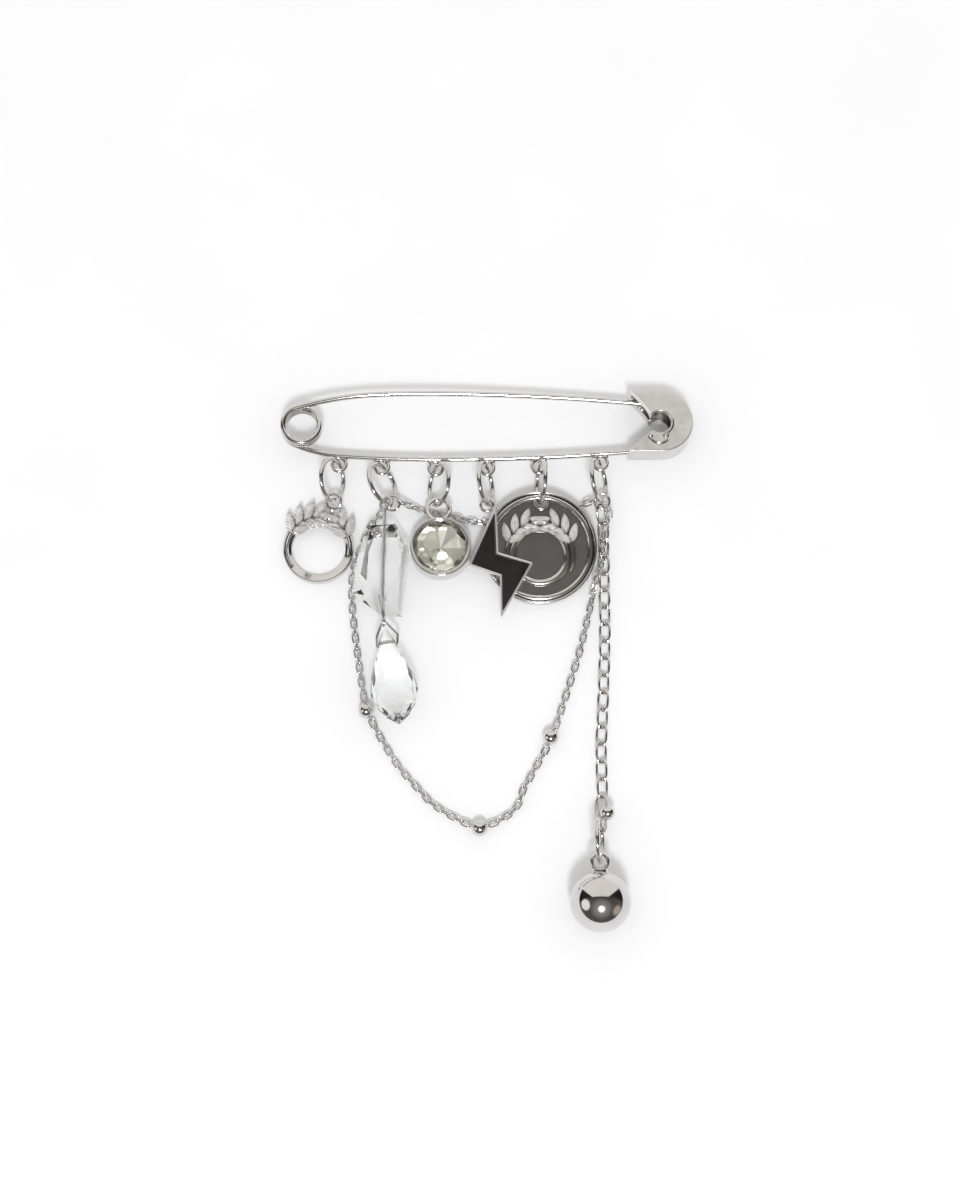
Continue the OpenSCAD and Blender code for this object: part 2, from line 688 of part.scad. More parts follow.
swag_1 = [small_right + [1.05, -0.75, -0.25], [23.7, 27.75, 2.9], [22.6, 24, 2.8], [22.3, 20.5, 2.65],
    [22, 17.5, 2.6], [21.2, 15.2, 2.5], [20.6, 13.3, 1.7], [20.1, 10.8, 0.9], [19.3, 7.4, fine_z],
    [17.8, 1.3, fine_z], [16.1, -4.2, fine_z], [14.2, -10, fine_z], [13.2, -13, 1], bead_1];
swag_2 = [bead_1, [11.1, -18, 1], [9.2, -21.2, fine_z], [8, -23.4, fine_z], [6.9, -25.3, fine_z],
    [6.1, -27.8, fine_z], [4.5, -29.8, fine_z], [1.6, -31.6, 1], bead_2];
swag_3 = [bead_2, [-4.2, -31.6, 1], [-7.5, -29.8, fine_z], [-10.3, -27.9, fine_z], [-12.2, -25.9, fine_z],
    [-16.3, -21.3, fine_z], [-19.6, -16.2, fine_z], [-21.3, -13.2, 1], bead_3];
swag_4 = [bead_3, [-23.3, -7.6, 1.1], [-24.2, -1.8, fine_z], [-25.1, 4.3, fine_z], [-25.8, 11.1, fine_z],
    [-25.7, 16.4, fine_z], [-24.2, 21.6, fine_z], [-22.4, 26, fine_z], [-20.05, 28.8, 1.15],
    small_left + [-1.15, -0.8, -0.35]];

module swag_chain() color(METAL) {
    fine_chain(swag_1, fine_hook, bead_hook, 111.5, 10);
    fine_chain(swag_2, bead_hook, bead_hook, 10, 10);
    fine_chain(swag_3, bead_hook, bead_hook, 10, 10);
    fine_chain(swag_4, bead_hook, fine_hook, 10, 104.5);
}

// A bead with a loop on each side. The loops stand up, so the flat links beside it can hook them.
bead_loop_out = 0.27;
bead_loop_r = 0.52;
bead_loop_wire = 0.3;
module swag_bead(c, before, after) color(METAL) translate(c) {
    sphere(d = bead_d);
    for (v = [before - c, after - c])
        rotate([0, -asin(v[2] / norm(v)), atan2(v[1], v[0])])
            translate([bead_d / 2 + bead_loop_out, 0, 0])
                rotate([90, 0, 0]) hoop(bead_loop_r, bead_loop_wire);
}

module swag_bead_1() swag_bead(bead_1, swag_1[len(swag_1) - 2], swag_2[1]);
module swag_bead_2() swag_bead(bead_2, swag_2[len(swag_2) - 2], swag_3[1]);
module swag_bead_3() swag_bead(bead_3, swag_3[len(swag_3) - 2], swag_4[1]);

bar();
cap();
needle();
jump_ring_1();
jump_ring_2();
jump_ring_3();
jump_ring_4();
jump_ring_5();
jump_ring_6();
jump_ring_7();
small_ring_left();
small_ring_right();
leaf_ring();
nugget();
nugget_wire();
drop_bail();
drop();
bezel();
stone();
bolt_frame();
bolt_enamel();
disc();
extension_chain();
end_bead();
ball();
short_chain();
swag_chain();
swag_bead_1();
swag_bead_2();
swag_bead_3();
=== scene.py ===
# %% [markdown]
# # Dressing a charm brooch
# The solids of the brooch come from its CAD model and stay where they are. This lesson gives each
# one its real surface: bright plating with soft edges, cut crystal, foiled glass and enamel.
# A bright metal has no colour of its own. It shows what stands around it, so the room matters
# as much as the shapes do.

# %% Load the frame
import math
import bpy
from mathutils import Matrix, Vector


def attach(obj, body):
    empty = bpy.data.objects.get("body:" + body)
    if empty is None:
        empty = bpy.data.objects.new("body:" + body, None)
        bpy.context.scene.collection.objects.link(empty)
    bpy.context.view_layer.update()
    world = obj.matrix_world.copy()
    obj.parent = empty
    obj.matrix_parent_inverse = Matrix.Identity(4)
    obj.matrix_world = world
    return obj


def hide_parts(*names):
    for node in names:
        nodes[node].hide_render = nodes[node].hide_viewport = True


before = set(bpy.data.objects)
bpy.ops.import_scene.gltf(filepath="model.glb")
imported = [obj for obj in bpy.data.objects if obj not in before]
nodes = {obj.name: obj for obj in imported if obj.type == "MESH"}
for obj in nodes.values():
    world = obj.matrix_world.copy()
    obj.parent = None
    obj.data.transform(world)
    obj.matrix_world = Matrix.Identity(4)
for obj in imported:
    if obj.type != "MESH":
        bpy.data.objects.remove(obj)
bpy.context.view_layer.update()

MM = 0.001
print("solids:", len(nodes))

# %% [markdown]
# ## The camera
# The photograph looks down at the table, leaning 14 degrees to the near side, which makes the
# round parts a little flatter. The camera could be placed by eye, but in a picture of mirrors every
# highlight would move with it, so it is set by numbers that were found from those round parts.

# %% Place the camera
AIM = Vector((-1.24, 11.5, 0.0)) * MM
LEAN = math.radians(14)
DISTANCE = 0.4
LENS = 62.4
bpy.ops.object.camera_add(
    location=AIM + DISTANCE * Vector((0, -math.sin(LEAN), math.cos(LEAN))),
    rotation=(LEAN, 0, 0))
camera = bpy.context.object
camera.data.lens = LENS
bpy.context.scene.camera = camera
print("camera at", [round(v, 4) for v in camera.location])

# %% [markdown]
# ## The table
# A plain white surface, slightly rough, so it catches soft shadows and lights the metal from below.
# Its light alone could be painted into the room, but the shadows need a real plane. It is a hair
# lower than the brooch, because glass that touches it would look dark there. Its material is made
# of nodes, like all that follow, so the helpers for nodes come first.

# %% Helpers for node materials
def new_material(name):
    """A material with its nodes on, and its shader."""
    material = bpy.data.materials.new(name)
    material.use_nodes = True
    return material, material.node_tree, material.node_tree.nodes["Principled BSDF"]

def wire_up(tree, kind, inputs=(), **settings):
    """Adds a node, sets its properties, and fills its inputs with numbers or other outputs."""
    node = tree.nodes.new(kind)
    for key, value in settings.items():
        setattr(node, key, value)
    for key, value in dict(inputs).items():
        if isinstance(value, bpy.types.NodeSocket):
            tree.links.new(value, node.inputs[key])
        else:
            node.inputs[key].default_value = value
    return node

def noise(tree, scale, detail=3.0):
    """Noise on the object's own coordinates. Scale is in features to the metre."""
    place = wire_up(tree, "ShaderNodeTexCoord").outputs["Object"]
    return wire_up(tree, "ShaderNodeTexNoise", {
        "Vector": place, "Scale": scale, "Detail": detail}).outputs["Fac"]

def spread(tree, value, low, high, start=0.3, end=0.7):
    """Maps a noise, which mostly lies between start and end, to low and high."""
    return wire_up(tree, "ShaderNodeMapRange", {
        "Value": value, "From Min": start, "From Max": end,
        "To Min": low, "To Max": high}).outputs["Result"]

def tint(tree, share, first, second):
    """Mixes two colours by a share. Each is a constant or another node's output."""
    colours = {key: value if isinstance(value, bpy.types.NodeSocket) else (*value, 1)
               for key, value in (("A", first), ("B", second))}
    return wire_up(tree, "ShaderNodeMix", {"Factor": share, **colours},
                   data_type="RGBA").outputs["Result"]

def bumped(tree, value, height):
    """A bump as high as given, in metres."""
    return wire_up(tree, "ShaderNodeBump", {
        "Height": value, "Distance": height, "Strength": 1.0}).outputs["Normal"]

print("ready: new_material, wire_up, noise, spread, tint, bumped")

# %% Lay the table
TABLE_SIZE = 3
TABLE_Z = -0.04 * MM

def table_material():
    material, tree, shader = new_material("white_table")
    patches = spread(tree, noise(tree, 30), 0, 1)
    tree.links.new(tint(tree, patches, (0.9, 0.905, 0.91), (0.93, 0.935, 0.94)),
                   shader.inputs["Base Color"])
    shader.inputs["Roughness"].default_value = 0.6
    return material

bpy.ops.mesh.primitive_plane_add(size=TABLE_SIZE, location=(0, 0, TABLE_Z))
table = bpy.context.object
table.name = "table"
table.data.materials.append(table_material())
print("table:", tuple(round(v, 2) for v in table.dimensions))

# %% [markdown]
# ## The room
# The ball at the foot of the photograph works like a mirror of the room. It shows a dark room
# overhead, a big pale card that starts just north of it and reaches down to the table, a window to
# the west, something tan to the east, and one soft lamp to the south. The room could be built of
# cards and lamps, but painted round the brooch it renders with less noise. The lamp, the window and
# the tan thing are patches round a direction, and the card is bounded by planes.
# Only mirror-like surfaces see the room. Light that the table has scattered sees an even tent. What
# shows in a facet is a blend of both, because a crystal gathers light from all sides.

# %% Say what stands in the room
LAMP_LEAN = math.radians(33)
LAMP_TO = Vector((0.02, -math.sin(LAMP_LEAN), math.cos(LAMP_LEAN)))
WINDOW_TO = Vector((-0.875, -0.208, 0.437))
TAN_TO = Vector((0.84, -0.47, 0.27))
# The card starts between these two angles north of overhead, and two planes bound its sides.
CARD_FROM, CARD_FULL = math.radians(12), math.radians(18)
CARD_SIDES = (Vector((0.565, 0.809, 0.166)), Vector((-0.575, 0.81, 0.1)))
CARD_EDGE = (-0.02, 0.04)
CARD = (0.90, 0.87, 0.845)
# Behind all of it the room darkens between these two angles, from the south to overhead.
SHADE_FROM, SHADE_FULL = math.radians(-5), math.radians(30)
SOUTH, OVERHEAD = (0.10, 0.095, 0.09), (0.02, 0.018, 0.017)
TENT = (1.0, 0.985, 0.975)
TENT_STRENGTH = 0.77
# How much of the tent a crystal gathers.
TENT_IN_GLASS = 0.35
# Each patch: its direction, the angles where it is full and where it ends, and its colour.
FAR_PATCHES = ((LAMP_TO, 8, 46, (0.30, 0.285, 0.27)),
               (WINDOW_TO, 14, 21, (1.0, 1.0, 1.0)),
               (TAN_TO, 5, 21, (0.52, 0.45, 0.38)))
LAMP_PATCH = (LAMP_TO, 3, 16, (1.7, 1.68, 1.65))
print("patches:", len(FAR_PATCHES) + 1, "and the card")

# %% Paint the room
def paint_room():
    world = bpy.data.worlds.new("room")
    world.use_nodes = True
    tree = world.node_tree
    tree.nodes.clear()
    place = wire_up(tree, "ShaderNodeTexCoord").outputs["Generated"]
    axes = wire_up(tree, "ShaderNodeSeparateXYZ", {"Vector": place}).outputs

    def math_node(kind, a, b):
        return wire_up(tree, "ShaderNodeMath", {0: a, 1: b}, operation=kind).outputs[0]

    def edge(value, start, end):
        return wire_up(tree, "ShaderNodeMapRange", {
            "Value": value, "From Min": start, "From Max": end},
            interpolation_type="SMOOTHSTEP").outputs["Result"]

    def along(way):
        return wire_up(tree, "ShaderNodeVectorMath", {0: place, 1: way},
                       operation="DOT_PRODUCT").outputs["Value"]

    def laid_on(room, way, full, end, colour):
        share = edge(along(way), math.cos(math.radians(end)), math.cos(math.radians(full)))
        return tint(tree, share, room, colour)

    north = math_node("ARCTAN2", axes["Y"], axes["Z"])
    card = edge(north, CARD_FROM, CARD_FULL)
    for side in CARD_SIDES:
        card = math_node("MULTIPLY", card, edge(along(side), *CARD_EDGE))
    room = tint(tree, edge(north, SHADE_FROM, SHADE_FULL), SOUTH, OVERHEAD)
    for patch in FAR_PATCHES:
        room = laid_on(room, *patch)
    room = laid_on(tint(tree, card, room, CARD), *LAMP_PATCH)
    rays = wire_up(tree, "ShaderNodeLightPath").outputs
    plain = math_node("MAXIMUM", rays["Is Diffuse Ray"], rays["Is Camera Ray"])
    gathered = math_node("MULTIPLY", rays["Is Transmission Ray"], TENT_IN_GLASS)
    seen = wire_up(tree, "ShaderNodeBackground", {"Color": room}).outputs[0]
    tent = wire_up(tree, "ShaderNodeBackground", {
        "Color": (*TENT, 1), "Strength": TENT_STRENGTH}).outputs[0]
    both = wire_up(tree, "ShaderNodeMixShader", {
        0: math_node("MAXIMUM", plain, gathered), 1: seen, 2: tent}).outputs[0]
    wire_up(tree, "ShaderNodeOutputWorld", {"Surface": both})
    return world

bpy.context.scene.world = paint_room()
print("world nodes:", len(bpy.context.scene.world.node_tree.nodes))

# %% [markdown]
# ## The lamp
# One lamp gives the soft shadows to the north of each piece. A point would make them hard, so it is
# a round disc. Glass sees only the painted lamp: its shadow already lets the real one's light
# through, and that must not count twice.

# %% Hang the lamp
LAMP_AWAY = 2.5
LAMP_SIZE = 0.47
LAMP_POWER = 26
bpy.ops.object.light_add(type="AREA", location=LAMP_TO * LAMP_AWAY,
                         rotation=LAMP_TO.to_track_quat("Z", "Y").to_euler())
lamp = bpy.context.object
lamp.name = "lamp"
lamp.data.shape = "DISK"
lamp.data.size = LAMP_SIZE
lamp.data.energy = LAMP_POWER
lamp.data.color = (0.97, 0.985, 1.0)
lamp.visible_transmission = False
bpy.context.scene.view_settings.view_transform = "Standard"
print("lamp:", lamp.data.energy, "W")

# %% [markdown]
# ## The finishes
# Plating is never a perfect mirror: it has faint waves, and its polish is finer in one place than
# in another. A painted picture could hold both, but a noise that lies on the piece itself needs no
# unwrapping. Cast and struck pieces also have matt leaves and dark hollows, where polish doesn't
# reach. The leaves, the rolled edges of the cap and the bolt's frame are marked by an attribute:
# there the surface is matt, and its colour is painted paler and less metallic, as a painted
# highlight. The hollows are found by how much of the piece stands round each point.

# %% Mix the metals
# The pale colour of marked surfaces is a painted highlight, and their lower metal lets it show.
PAINTED_HIGHLIGHT_PALE = (0.97, 0.95, 0.93)
LEAF_METAL = 0.62
HOLLOW = 0.7 * MM

def plating(name, colour, roughness, wave=2e-6, dents=1500, patina=0.0, frost=0.0):
    """Polished plate: two close tints, an uneven polish, and low waves. Where a piece is marked as
    leaf, frost is the roughness of its matt surface, and its paler, less metallic colour is a
    painted highlight. Patina darkens the hollows."""
    material, tree, shader = new_material(name)
    tone = tint(tree, spread(tree, noise(tree, 260), 0, 1), colour, [0.9 * v for v in colour])
    polish = spread(tree, noise(tree, 700), 0.75 * roughness, 1.3 * roughness)
    shader.inputs["Metallic"].default_value = 1
    if frost:
        # Marked surfaces get a matt roughness and a pale colour that paints a highlight.
        matt_and_painted_highlight = wire_up(tree, "ShaderNodeAttribute", attribute_name="leaf").outputs["Fac"]
        tone = tint(tree, matt_and_painted_highlight, tone, PAINTED_HIGHLIGHT_PALE)
        polish = wire_up(tree, "ShaderNodeMix", {
            "Factor": matt_and_painted_highlight, "A": polish, "B": frost}).outputs["Result"]
        tree.links.new(spread(tree, matt_and_painted_highlight, 1.0, LEAF_METAL, 0, 1), shader.inputs["Metallic"])
    if patina:
        open_air = wire_up(tree, "ShaderNodeAmbientOcclusion", {"Distance": HOLLOW},
                           samples=6, only_local=True).outputs["AO"]
        clean = spread(tree, open_air, 0, 1, 0.4, 0.95)
        tone = tint(tree, clean, [patina * v for v in colour], tone)
    tree.links.new(tone, shader.inputs["Base Color"])
    tree.links.new(polish, shader.inputs["Roughness"])
    tree.links.new(bumped(tree, noise(tree, dents, 1), wave), shader.inputs["Normal"])
    return material

BRIGHT = (0.72, 0.705, 0.685)
DARKER = (0.68, 0.66, 0.64)
bright = plating("bright_plating", BRIGHT, 0.08)
cast = plating("cast_plating", BRIGHT, 0.09, wave=1e-6, patina=0.4, frost=0.34)
satin = plating("satin_plating", BRIGHT, 0.15, wave=5e-7, dents=300, frost=0.3)
dark = plating("dark_plating", DARKER, 0.13, wave=4e-7, dents=400, patina=0.5, frost=0.34)
print("metals:", bright.name, cast.name, satin.name, dark.name)

# %% [markdown]
# ## Glass and enamel
# Cut crystal bends the white table into its facets. Light that only makes a shadow goes straight
# through, because a real crystal throws a pale shadow with bright spots in it. The round stone has
# a foil behind it. The foil could be a sheet of its own, but it would touch the glass, and surfaces
# that touch render badly. So the faces under the stone's widest part are marked, and there it
# reflects like metal. The enamel is nearly black, and a clear coat gives it its gloss.

# %% Mix the glasses
def glass(name, colour, roughness, ior, shadow, foil=None):
    """Cut glass, with a foil of this colour on the faces that are marked for it."""
    material, tree, shader = new_material(name)
    patches = spread(tree, noise(tree, 300), 0, 1)
    tree.links.new(tint(tree, patches, colour, [0.97 * v for v in colour]),
                   shader.inputs["Base Color"])
    shader.inputs["Transmission Weight"].default_value = 1
    shader.inputs["IOR"].default_value = ior
    tree.links.new(spread(tree, noise(tree, 900), 0.6 * roughness, 1.4 * roughness),
                   shader.inputs["Roughness"])
    body = shader.outputs[0]
    if foil:
        backed = wire_up(tree, "ShaderNodeAttribute", attribute_name="foil").outputs["Fac"]
        mirror = wire_up(tree, "ShaderNodeBsdfPrincipled", {
            "Base Color": (*foil, 1), "Metallic": 1, "Roughness": 0.12}).outputs[0]
        body = wire_up(tree, "ShaderNodeMixShader", {0: backed, 1: body, 2: mirror}).outputs[0]
    clear = wire_up(tree, "ShaderNodeBsdfTransparent", {"Color": (*shadow, 1)}).outputs[0]
    shading = wire_up(tree, "ShaderNodeLightPath").outputs["Is Shadow Ray"]
    both = wire_up(tree, "ShaderNodeMixShader", {0: shading, 1: body, 2: clear}).outputs[0]
    tree.links.new(both, tree.nodes["Material Output"].inputs["Surface"])
    return material

crystal = glass("cut_crystal", (0.91, 0.912, 0.905), 0.015, 1.54, (0.6, 0.6, 0.6))
foiled = glass("foiled_glass", (0.975, 0.98, 0.945), 0.01, 1.55, (0.8, 0.8, 0.78),
               foil=(0.95, 0.955, 0.90))
print("glasses:", crystal.name, foiled.name)

# %% Mix the enamel
def enamel_material():
    material, tree, shader = new_material("black_enamel")
    patches = spread(tree, noise(tree, 500), 0, 1)
    tree.links.new(tint(tree, patches, (0.012, 0.011, 0.010), (0.02, 0.018, 0.016)),
                   shader.inputs["Base Color"])
    tree.links.new(spread(tree, noise(tree, 900), 0.05, 0.12), shader.inputs["Roughness"])
    shader.inputs["Coat Weight"].default_value = 0.6
    shader.inputs["Coat Roughness"].default_value = 0.04
    tree.links.new(bumped(tree, noise(tree, 800, 1), 4e-6), shader.inputs["Normal"])
    return material

enamel = enamel_material()
print("enamel:", enamel.name)

# %% [markdown]
# ## Helpers for pieces
# Every piece is shaped by the same operators as by hand. An operator works on what is selected,
# so each step first deselects everything. Edit mode is left with all faces turned outward, and a
# finished piece has its place in its mesh, which keeps all of them in one shared frame.

# %% Start and finish a piece
def nothing():
    """Deselects everything."""
    bpy.ops.object.select_all(action="DESELECT")

def only(piece):
    """Selects this piece alone."""
    nothing()
    piece.select_set(True)
    bpy.context.view_layer.objects.active = piece

def settled(name=None):
    """Moves the place and size of the piece that was just made into its mesh, and may name it."""
    piece = bpy.context.object
    piece.name = name or piece.name
    bpy.ops.object.transform_apply(location=True, rotation=True, scale=True)
    return piece

def finish(piece, material, slot, *replaced, body="brooch", smooth=35):
    """Gives a piece its finish, its shading and its body. Smooth is the angle in degrees up to
    which an edge is shaded over, and 0 leaves all faces flat."""
    only(piece)
    settled()
    piece.data.materials.clear()
    piece.data.materials.append(material)
    if smooth:
        bpy.ops.object.shade_smooth_by_angle(angle=math.radians(smooth))
    else:
        bpy.ops.object.shade_flat()
    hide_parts(*replaced)
    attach(piece, body)
    print(piece.name, len(piece.data.polygons), "faces")
    return piece

print("ready: nothing, only, settled, finish")

# %% Edit a piece
WELD = 1e-6

def edit(piece):
    """Goes into edit mode with all of the piece selected."""
    only(piece)
    bpy.ops.object.mode_set(mode="EDIT")
    bpy.ops.mesh.select_all(action="SELECT")

def outward(piece):
    """Turns all faces outward and leaves edit mode."""
    bpy.ops.mesh.select_all(action="SELECT")
    bpy.ops.mesh.normals_make_consistent(inside=False)
    bpy.ops.object.mode_set(mode="OBJECT")
    return piece

def welded(piece, ends=False):
    """Joins points that lie on each other, closes open ends if asked, and leaves edit mode."""
    bpy.ops.mesh.select_all(action="SELECT")
    bpy.ops.mesh.remove_doubles(threshold=WELD)
    if ends:
        bpy.ops.mesh.fill_holes(sides=0)
    return outward(piece)

print("points are welded within", WELD, "m")

# %% [markdown]
# ## The pin
# The pin is one springy wire: it leaves the bar, winds two and a half times round the coil and ends
# as the needle. Its path could be traced by eye, but highlights show every kink, so it is worked
# out from arcs that pass into each other, as a bending machine makes them. It is the path that the
# CAD solids have, in finer steps.

# %% Find the path of the wire
COIL = (-35.9, 45.2)
COIL_R = 3.5
TURN = 1.27
WIRE = 1.15
BAR_Z = 2.59
# Degrees round the coil where the needle's turn ends, and where the bar's turns start and end.
NEEDLE_TURN_END, BAR_TURN_START, COIL_END = 450, 453, 990
# How many degrees each wire is off the X direction where it leaves the coil, where it bends again
# and where it ends, and the radii of its three arcs.
BAR_LEAVE, BAR_BEND, BAR_END = 25, 4.5, 5
ARM_LEAVE, ARM_BEND, ARM_END = 17.5, 2.95, 4.85
BAR_RADII = (25, 267, 450)
ARM_RADII = (65, 250, 450)
COIL_TOP = BAR_Z + (COIL_END - 90 - BAR_LEAVE) / 360 * TURN
ARM_Z = COIL_TOP - ARM_LEAVE / 360 * TURN
BAR_SLOPE, ARM_SLOPE = 0.53, -2
RUN_STEPS = (1.5, 0.4, 0.4)

def arc(centre, r, start, end, step=1.5):
    """Points along an arc, in millimetres and degrees."""
    count = max(2, round(abs(end - start) / step))
    turns = [math.radians(start + (end - start) * i / count) for i in range(count + 1)]
    return [Vector((centre[0] + r * math.cos(a), centre[1] + r * math.sin(a), 0)) for a in turns]

def wound(start, end, step=7.5):
    """Points down the coil, which starts at 90 degrees."""
    points = arc(COIL, COIL_R, start, end, step)
    for i, p in enumerate(points):
        p.z = COIL_TOP - (start + (end - start) * i / (len(points) - 1) - 90) / 360 * TURN
    return points

def run_on(radii, turns, z, slope):
    """Points along the wire beyond the coil, which it leaves in three arcs. Turns are the angles
    where each arc starts, and where the last one ends. Slope is along X, in degrees."""
    centre, r, points = COIL, COIL_R, []
    for new_r, start, end, step in zip(radii, turns, turns[1:], RUN_STEPS):
        a = math.radians(start)
        centre = (centre[0] - (new_r - r) * math.cos(a), centre[1] - (new_r - r) * math.sin(a))
        points += arc(centre, new_r, start, end, step)[1 if points else 0:]
        r = new_r
    for p in points:
        p.z = z + (p.x - points[0].x) * math.tan(math.radians(slope))
    return points

bar_run = run_on(BAR_RADII, (270 - BAR_LEAVE, 270 - BAR_BEND, 270, 270 + BAR_END),
                 BAR_Z, BAR_SLOPE)
arm_run = run_on(ARM_RADII, (90 + ARM_LEAVE, 90 + ARM_BEND, 90, 90 - ARM_END),
                 ARM_Z, ARM_SLOPE)
print("bar ends at", [round(v, 2) for v in bar_run[-1]])
print("needle ends at", [round(v, 2) for v in arm_run[-1]])

# %% [markdown]
# ## The needle and the bar
# A wire is best drawn as a curve with a round section and then made a mesh, because a curve keeps
# its section square to the path in every bend. The needle's end is ground to a point, and a curve
# does that too: each of its last points gets a smaller radius.

# %% Draw the wires
# The sharpened tip: millimetres from its end, and the share of the wire's thickness there.
POINT = ((0.0, 0.15), (0.15, 0.3), (0.5, 0.46), (1.0, 0.62), (1.8, 0.8), (2.8, 0.93), (4.0, 1.0))

def drawn_wire(name, points, w, ends=()):
    """A round wire of thickness w through points. Ends are the shares that its last points have."""
    nothing()
    bpy.ops.curve.primitive_nurbs_path_add(location=(0, 0, 0))
    wire = bpy.context.object
    wire.name = wire.data.name = name
    wire.data.splines.clear()
    spline = wire.data.splines.new("POLY")
    spline.points.add(len(points) - 1)
    for point, p in zip(spline.points, points):
        point.co = (*(p * MM), 1)
        point.radius = 1
    for point, share in zip(reversed(spline.points), ends):
        point.radius = share
    wire.data.bevel_depth = w / 2 * MM
    wire.data.bevel_resolution = 5
    wire.data.use_fill_caps = True
    only(wire)
    bpy.ops.object.convert(target="MESH")
    edit(bpy.context.object)
    return welded(bpy.context.object)

heading = (arm_run[-1] - arm_run[-2]).normalized()
arm_run += [arm_run[-1] + heading * (POINT[-1][0] - back) for back, _ in reversed(POINT[:-1])]
needle_path = list(reversed(wound(90 + ARM_LEAVE, NEEDLE_TURN_END))) + arm_run[1:]
finish(drawn_wire("needle_wire", needle_path, WIRE, [share for _, share in POINT]),
       bright, "polished_metal", "needle", body="needle", smooth=50)
bar_path = wound(BAR_TURN_START, COIL_END - BAR_LEAVE) + bar_run[1:]
bar_wire = drawn_wire("bar_wire", bar_path, WIRE)

# %% [markdown]
# ## The eyes under the bar
# Each eye is a small wire ring that is soldered on. The solder fills the corners, which no bevel
# could do between loose pieces. So a ring and two blobs of solder are joined, remeshed as one skin
# and smoothed. One eye is modelled, and six copies of it are placed under the bar.

# %% Helpers to solder and to copy
def blob(at, r, segments=24, rings=14, scale=(1, 1, 1)):
    """A ball of metal, pressed by a scale along X, Y and Z."""
    nothing()
    bpy.ops.mesh.primitive_uv_sphere_add(segments=segments, ring_count=rings, radius=r * MM,
                                         location=[v * MM for v in at], scale=scale)
    return bpy.context.object

def joined(first, parts):
    """Joins parts into the first piece."""
    only(first)
    for part in parts:
        part.select_set(True)
    bpy.ops.object.join()
    return first

def skinned(piece, cell, passes):
    """Remeshes a piece as one skin of cells, in millimetres, and smooths it in passes."""
    only(piece)
    piece.data.remesh_voxel_size = cell * MM
    bpy.ops.object.voxel_remesh()
    edit(piece)
    bpy.ops.mesh.vertices_smooth(factor=0.5, repeat=passes)
    bpy.ops.object.mode_set(mode="OBJECT")
    return piece

def placed_copy(model, name, at, turns=(0, 0, 0)):
    """A copy with its own mesh, turned about X, Y and Z in degrees, and moved, in millimetres."""
    copy = bpy.data.objects.new(name, model.data.copy())
    bpy.context.scene.collection.objects.link(copy)
    copy.rotation_euler = [math.radians(v) for v in turns]
    copy.location = Vector(at) * MM
    only(copy)
    return settled()

print("ready: blob, joined, skinned, placed_copy")

# %% Solder the eyes on
EYE_X = (-28.6, -20.3, -9.8, 0.1, 10.2, 22.1)
EYE_R, EYE_WIRE_R, EYE_Y = 1.35, 0.36, -1.85
SOLDER_R, SOLDER_X, SOLDER_Y = 0.45, 1.1, -0.66
SOLDER_FORM = (1.2, 0.8, 0.95)
EYE_CELL, EYE_PASSES = 0.06, 6

def bar_place(x):
    """The middle of the bar's wire at x."""
    for a, b in zip(bar_run, bar_run[1:]):
        if a.x <= x <= b.x:
            return a.lerp(b, (x - a.x) / (b.x - a.x))

def soldered_eye():
    nothing()
    bpy.ops.mesh.primitive_torus_add(
        major_radius=EYE_R * MM, minor_radius=EYE_WIRE_R * MM, major_segments=40,
        minor_segments=16, location=(0, EYE_Y * MM, 0))
    ring = bpy.context.object
    solder = [blob((x, SOLDER_Y, 0), SOLDER_R, 20, 12, SOLDER_FORM) for x in (-SOLDER_X, SOLDER_X)]
    skinned(joined(ring, solder), EYE_CELL, EYE_PASSES)
    return settled("eye_model")

eye_model = soldered_eye()
eyes = [placed_copy(eye_model, f"eye_{i + 1}", bar_place(x)) for i, x in enumerate(EYE_X)]
bpy.data.objects.remove(eye_model)
finish(joined(bar_wire, eyes), bright, "polished_metal", "bar", smooth=50)

# %% [markdown]
# ## The rings
# A jump ring is a piece of wire bent round until its ends meet. The thin cut between the ends
# shows on most of them, and a plain torus would lose it. So a round section is spun almost all the
# way and its ends are closed. Each ring is a copy that hangs in its own eye.

# %% Helpers to spin and to hang rings
def spun(piece, centre, steps, angle, ends=True):
    """Spins a section about an upright axis, by degrees, and welds what it makes."""
    edit(piece)
    bpy.ops.mesh.spin(steps=steps, angle=math.radians(angle),
                      center=(centre[0] * MM, centre[1] * MM, 0), axis=(0, 0, 1))
    return welded(piece, ends)

def open_ring(name, r, w, cut, steps, sides):
    """A ring of wire with a cut of so many degrees, which starts at +X."""
    nothing()
    bpy.ops.mesh.primitive_circle_add(vertices=sides, radius=w / 2 * MM, location=(r * MM, 0, 0),
                                      rotation=(math.radians(90), 0, 0))
    return spun(settled(name), (0, 0), steps, 360 - cut)

def hang(model, node, at, turns):
    """Hangs a copy of a ring in its place."""
    finish(placed_copy(model, node + "_wire", at, turns), bright, "polished_metal", node, smooth=50)

print("ready: spun, open_ring, hang")

# %% Bend the rings
# The rings' radii, the thickness of their wire, and their cuts in degrees.
JUMP_R, JUMP_WIRE, JUMP_CUT = 4.0, 0.9, 1.6
SMALL_R, SMALL_WIRE, SMALL_CUT = 1.45, 0.5, 3
# Where each ring's middle is, and its turns.
JUMP_RINGS = (
    ((-29.76, 34.45, 4.14), (4.6, 61.8, 0.2)),
    ((-20.12, 33.69, 3.86), (-6.6, 55, 6.7)),
    ((-9.13, 33.49, 4.13), (-3.2, -61.7, 3)),
    ((-0.14, 33.47, 4.4), (-2.4, 71, 1.6)),
    ((10.55, 33.85, 4.5), (0, 100, 0)),
    ((21.7, 34.2, 4.33), (-1.6, 67.9, 1.6)),
    ((20.9, -35.4, 4.5), (0, 80, 0)))
SMALL_RINGS = (("left", (-18.1, 30.15, 2.4), (-5, -18.5, 19.5)),
               ("right", (22.35, 30.45, 2.65), (5.5, 8.5, -56.5)))

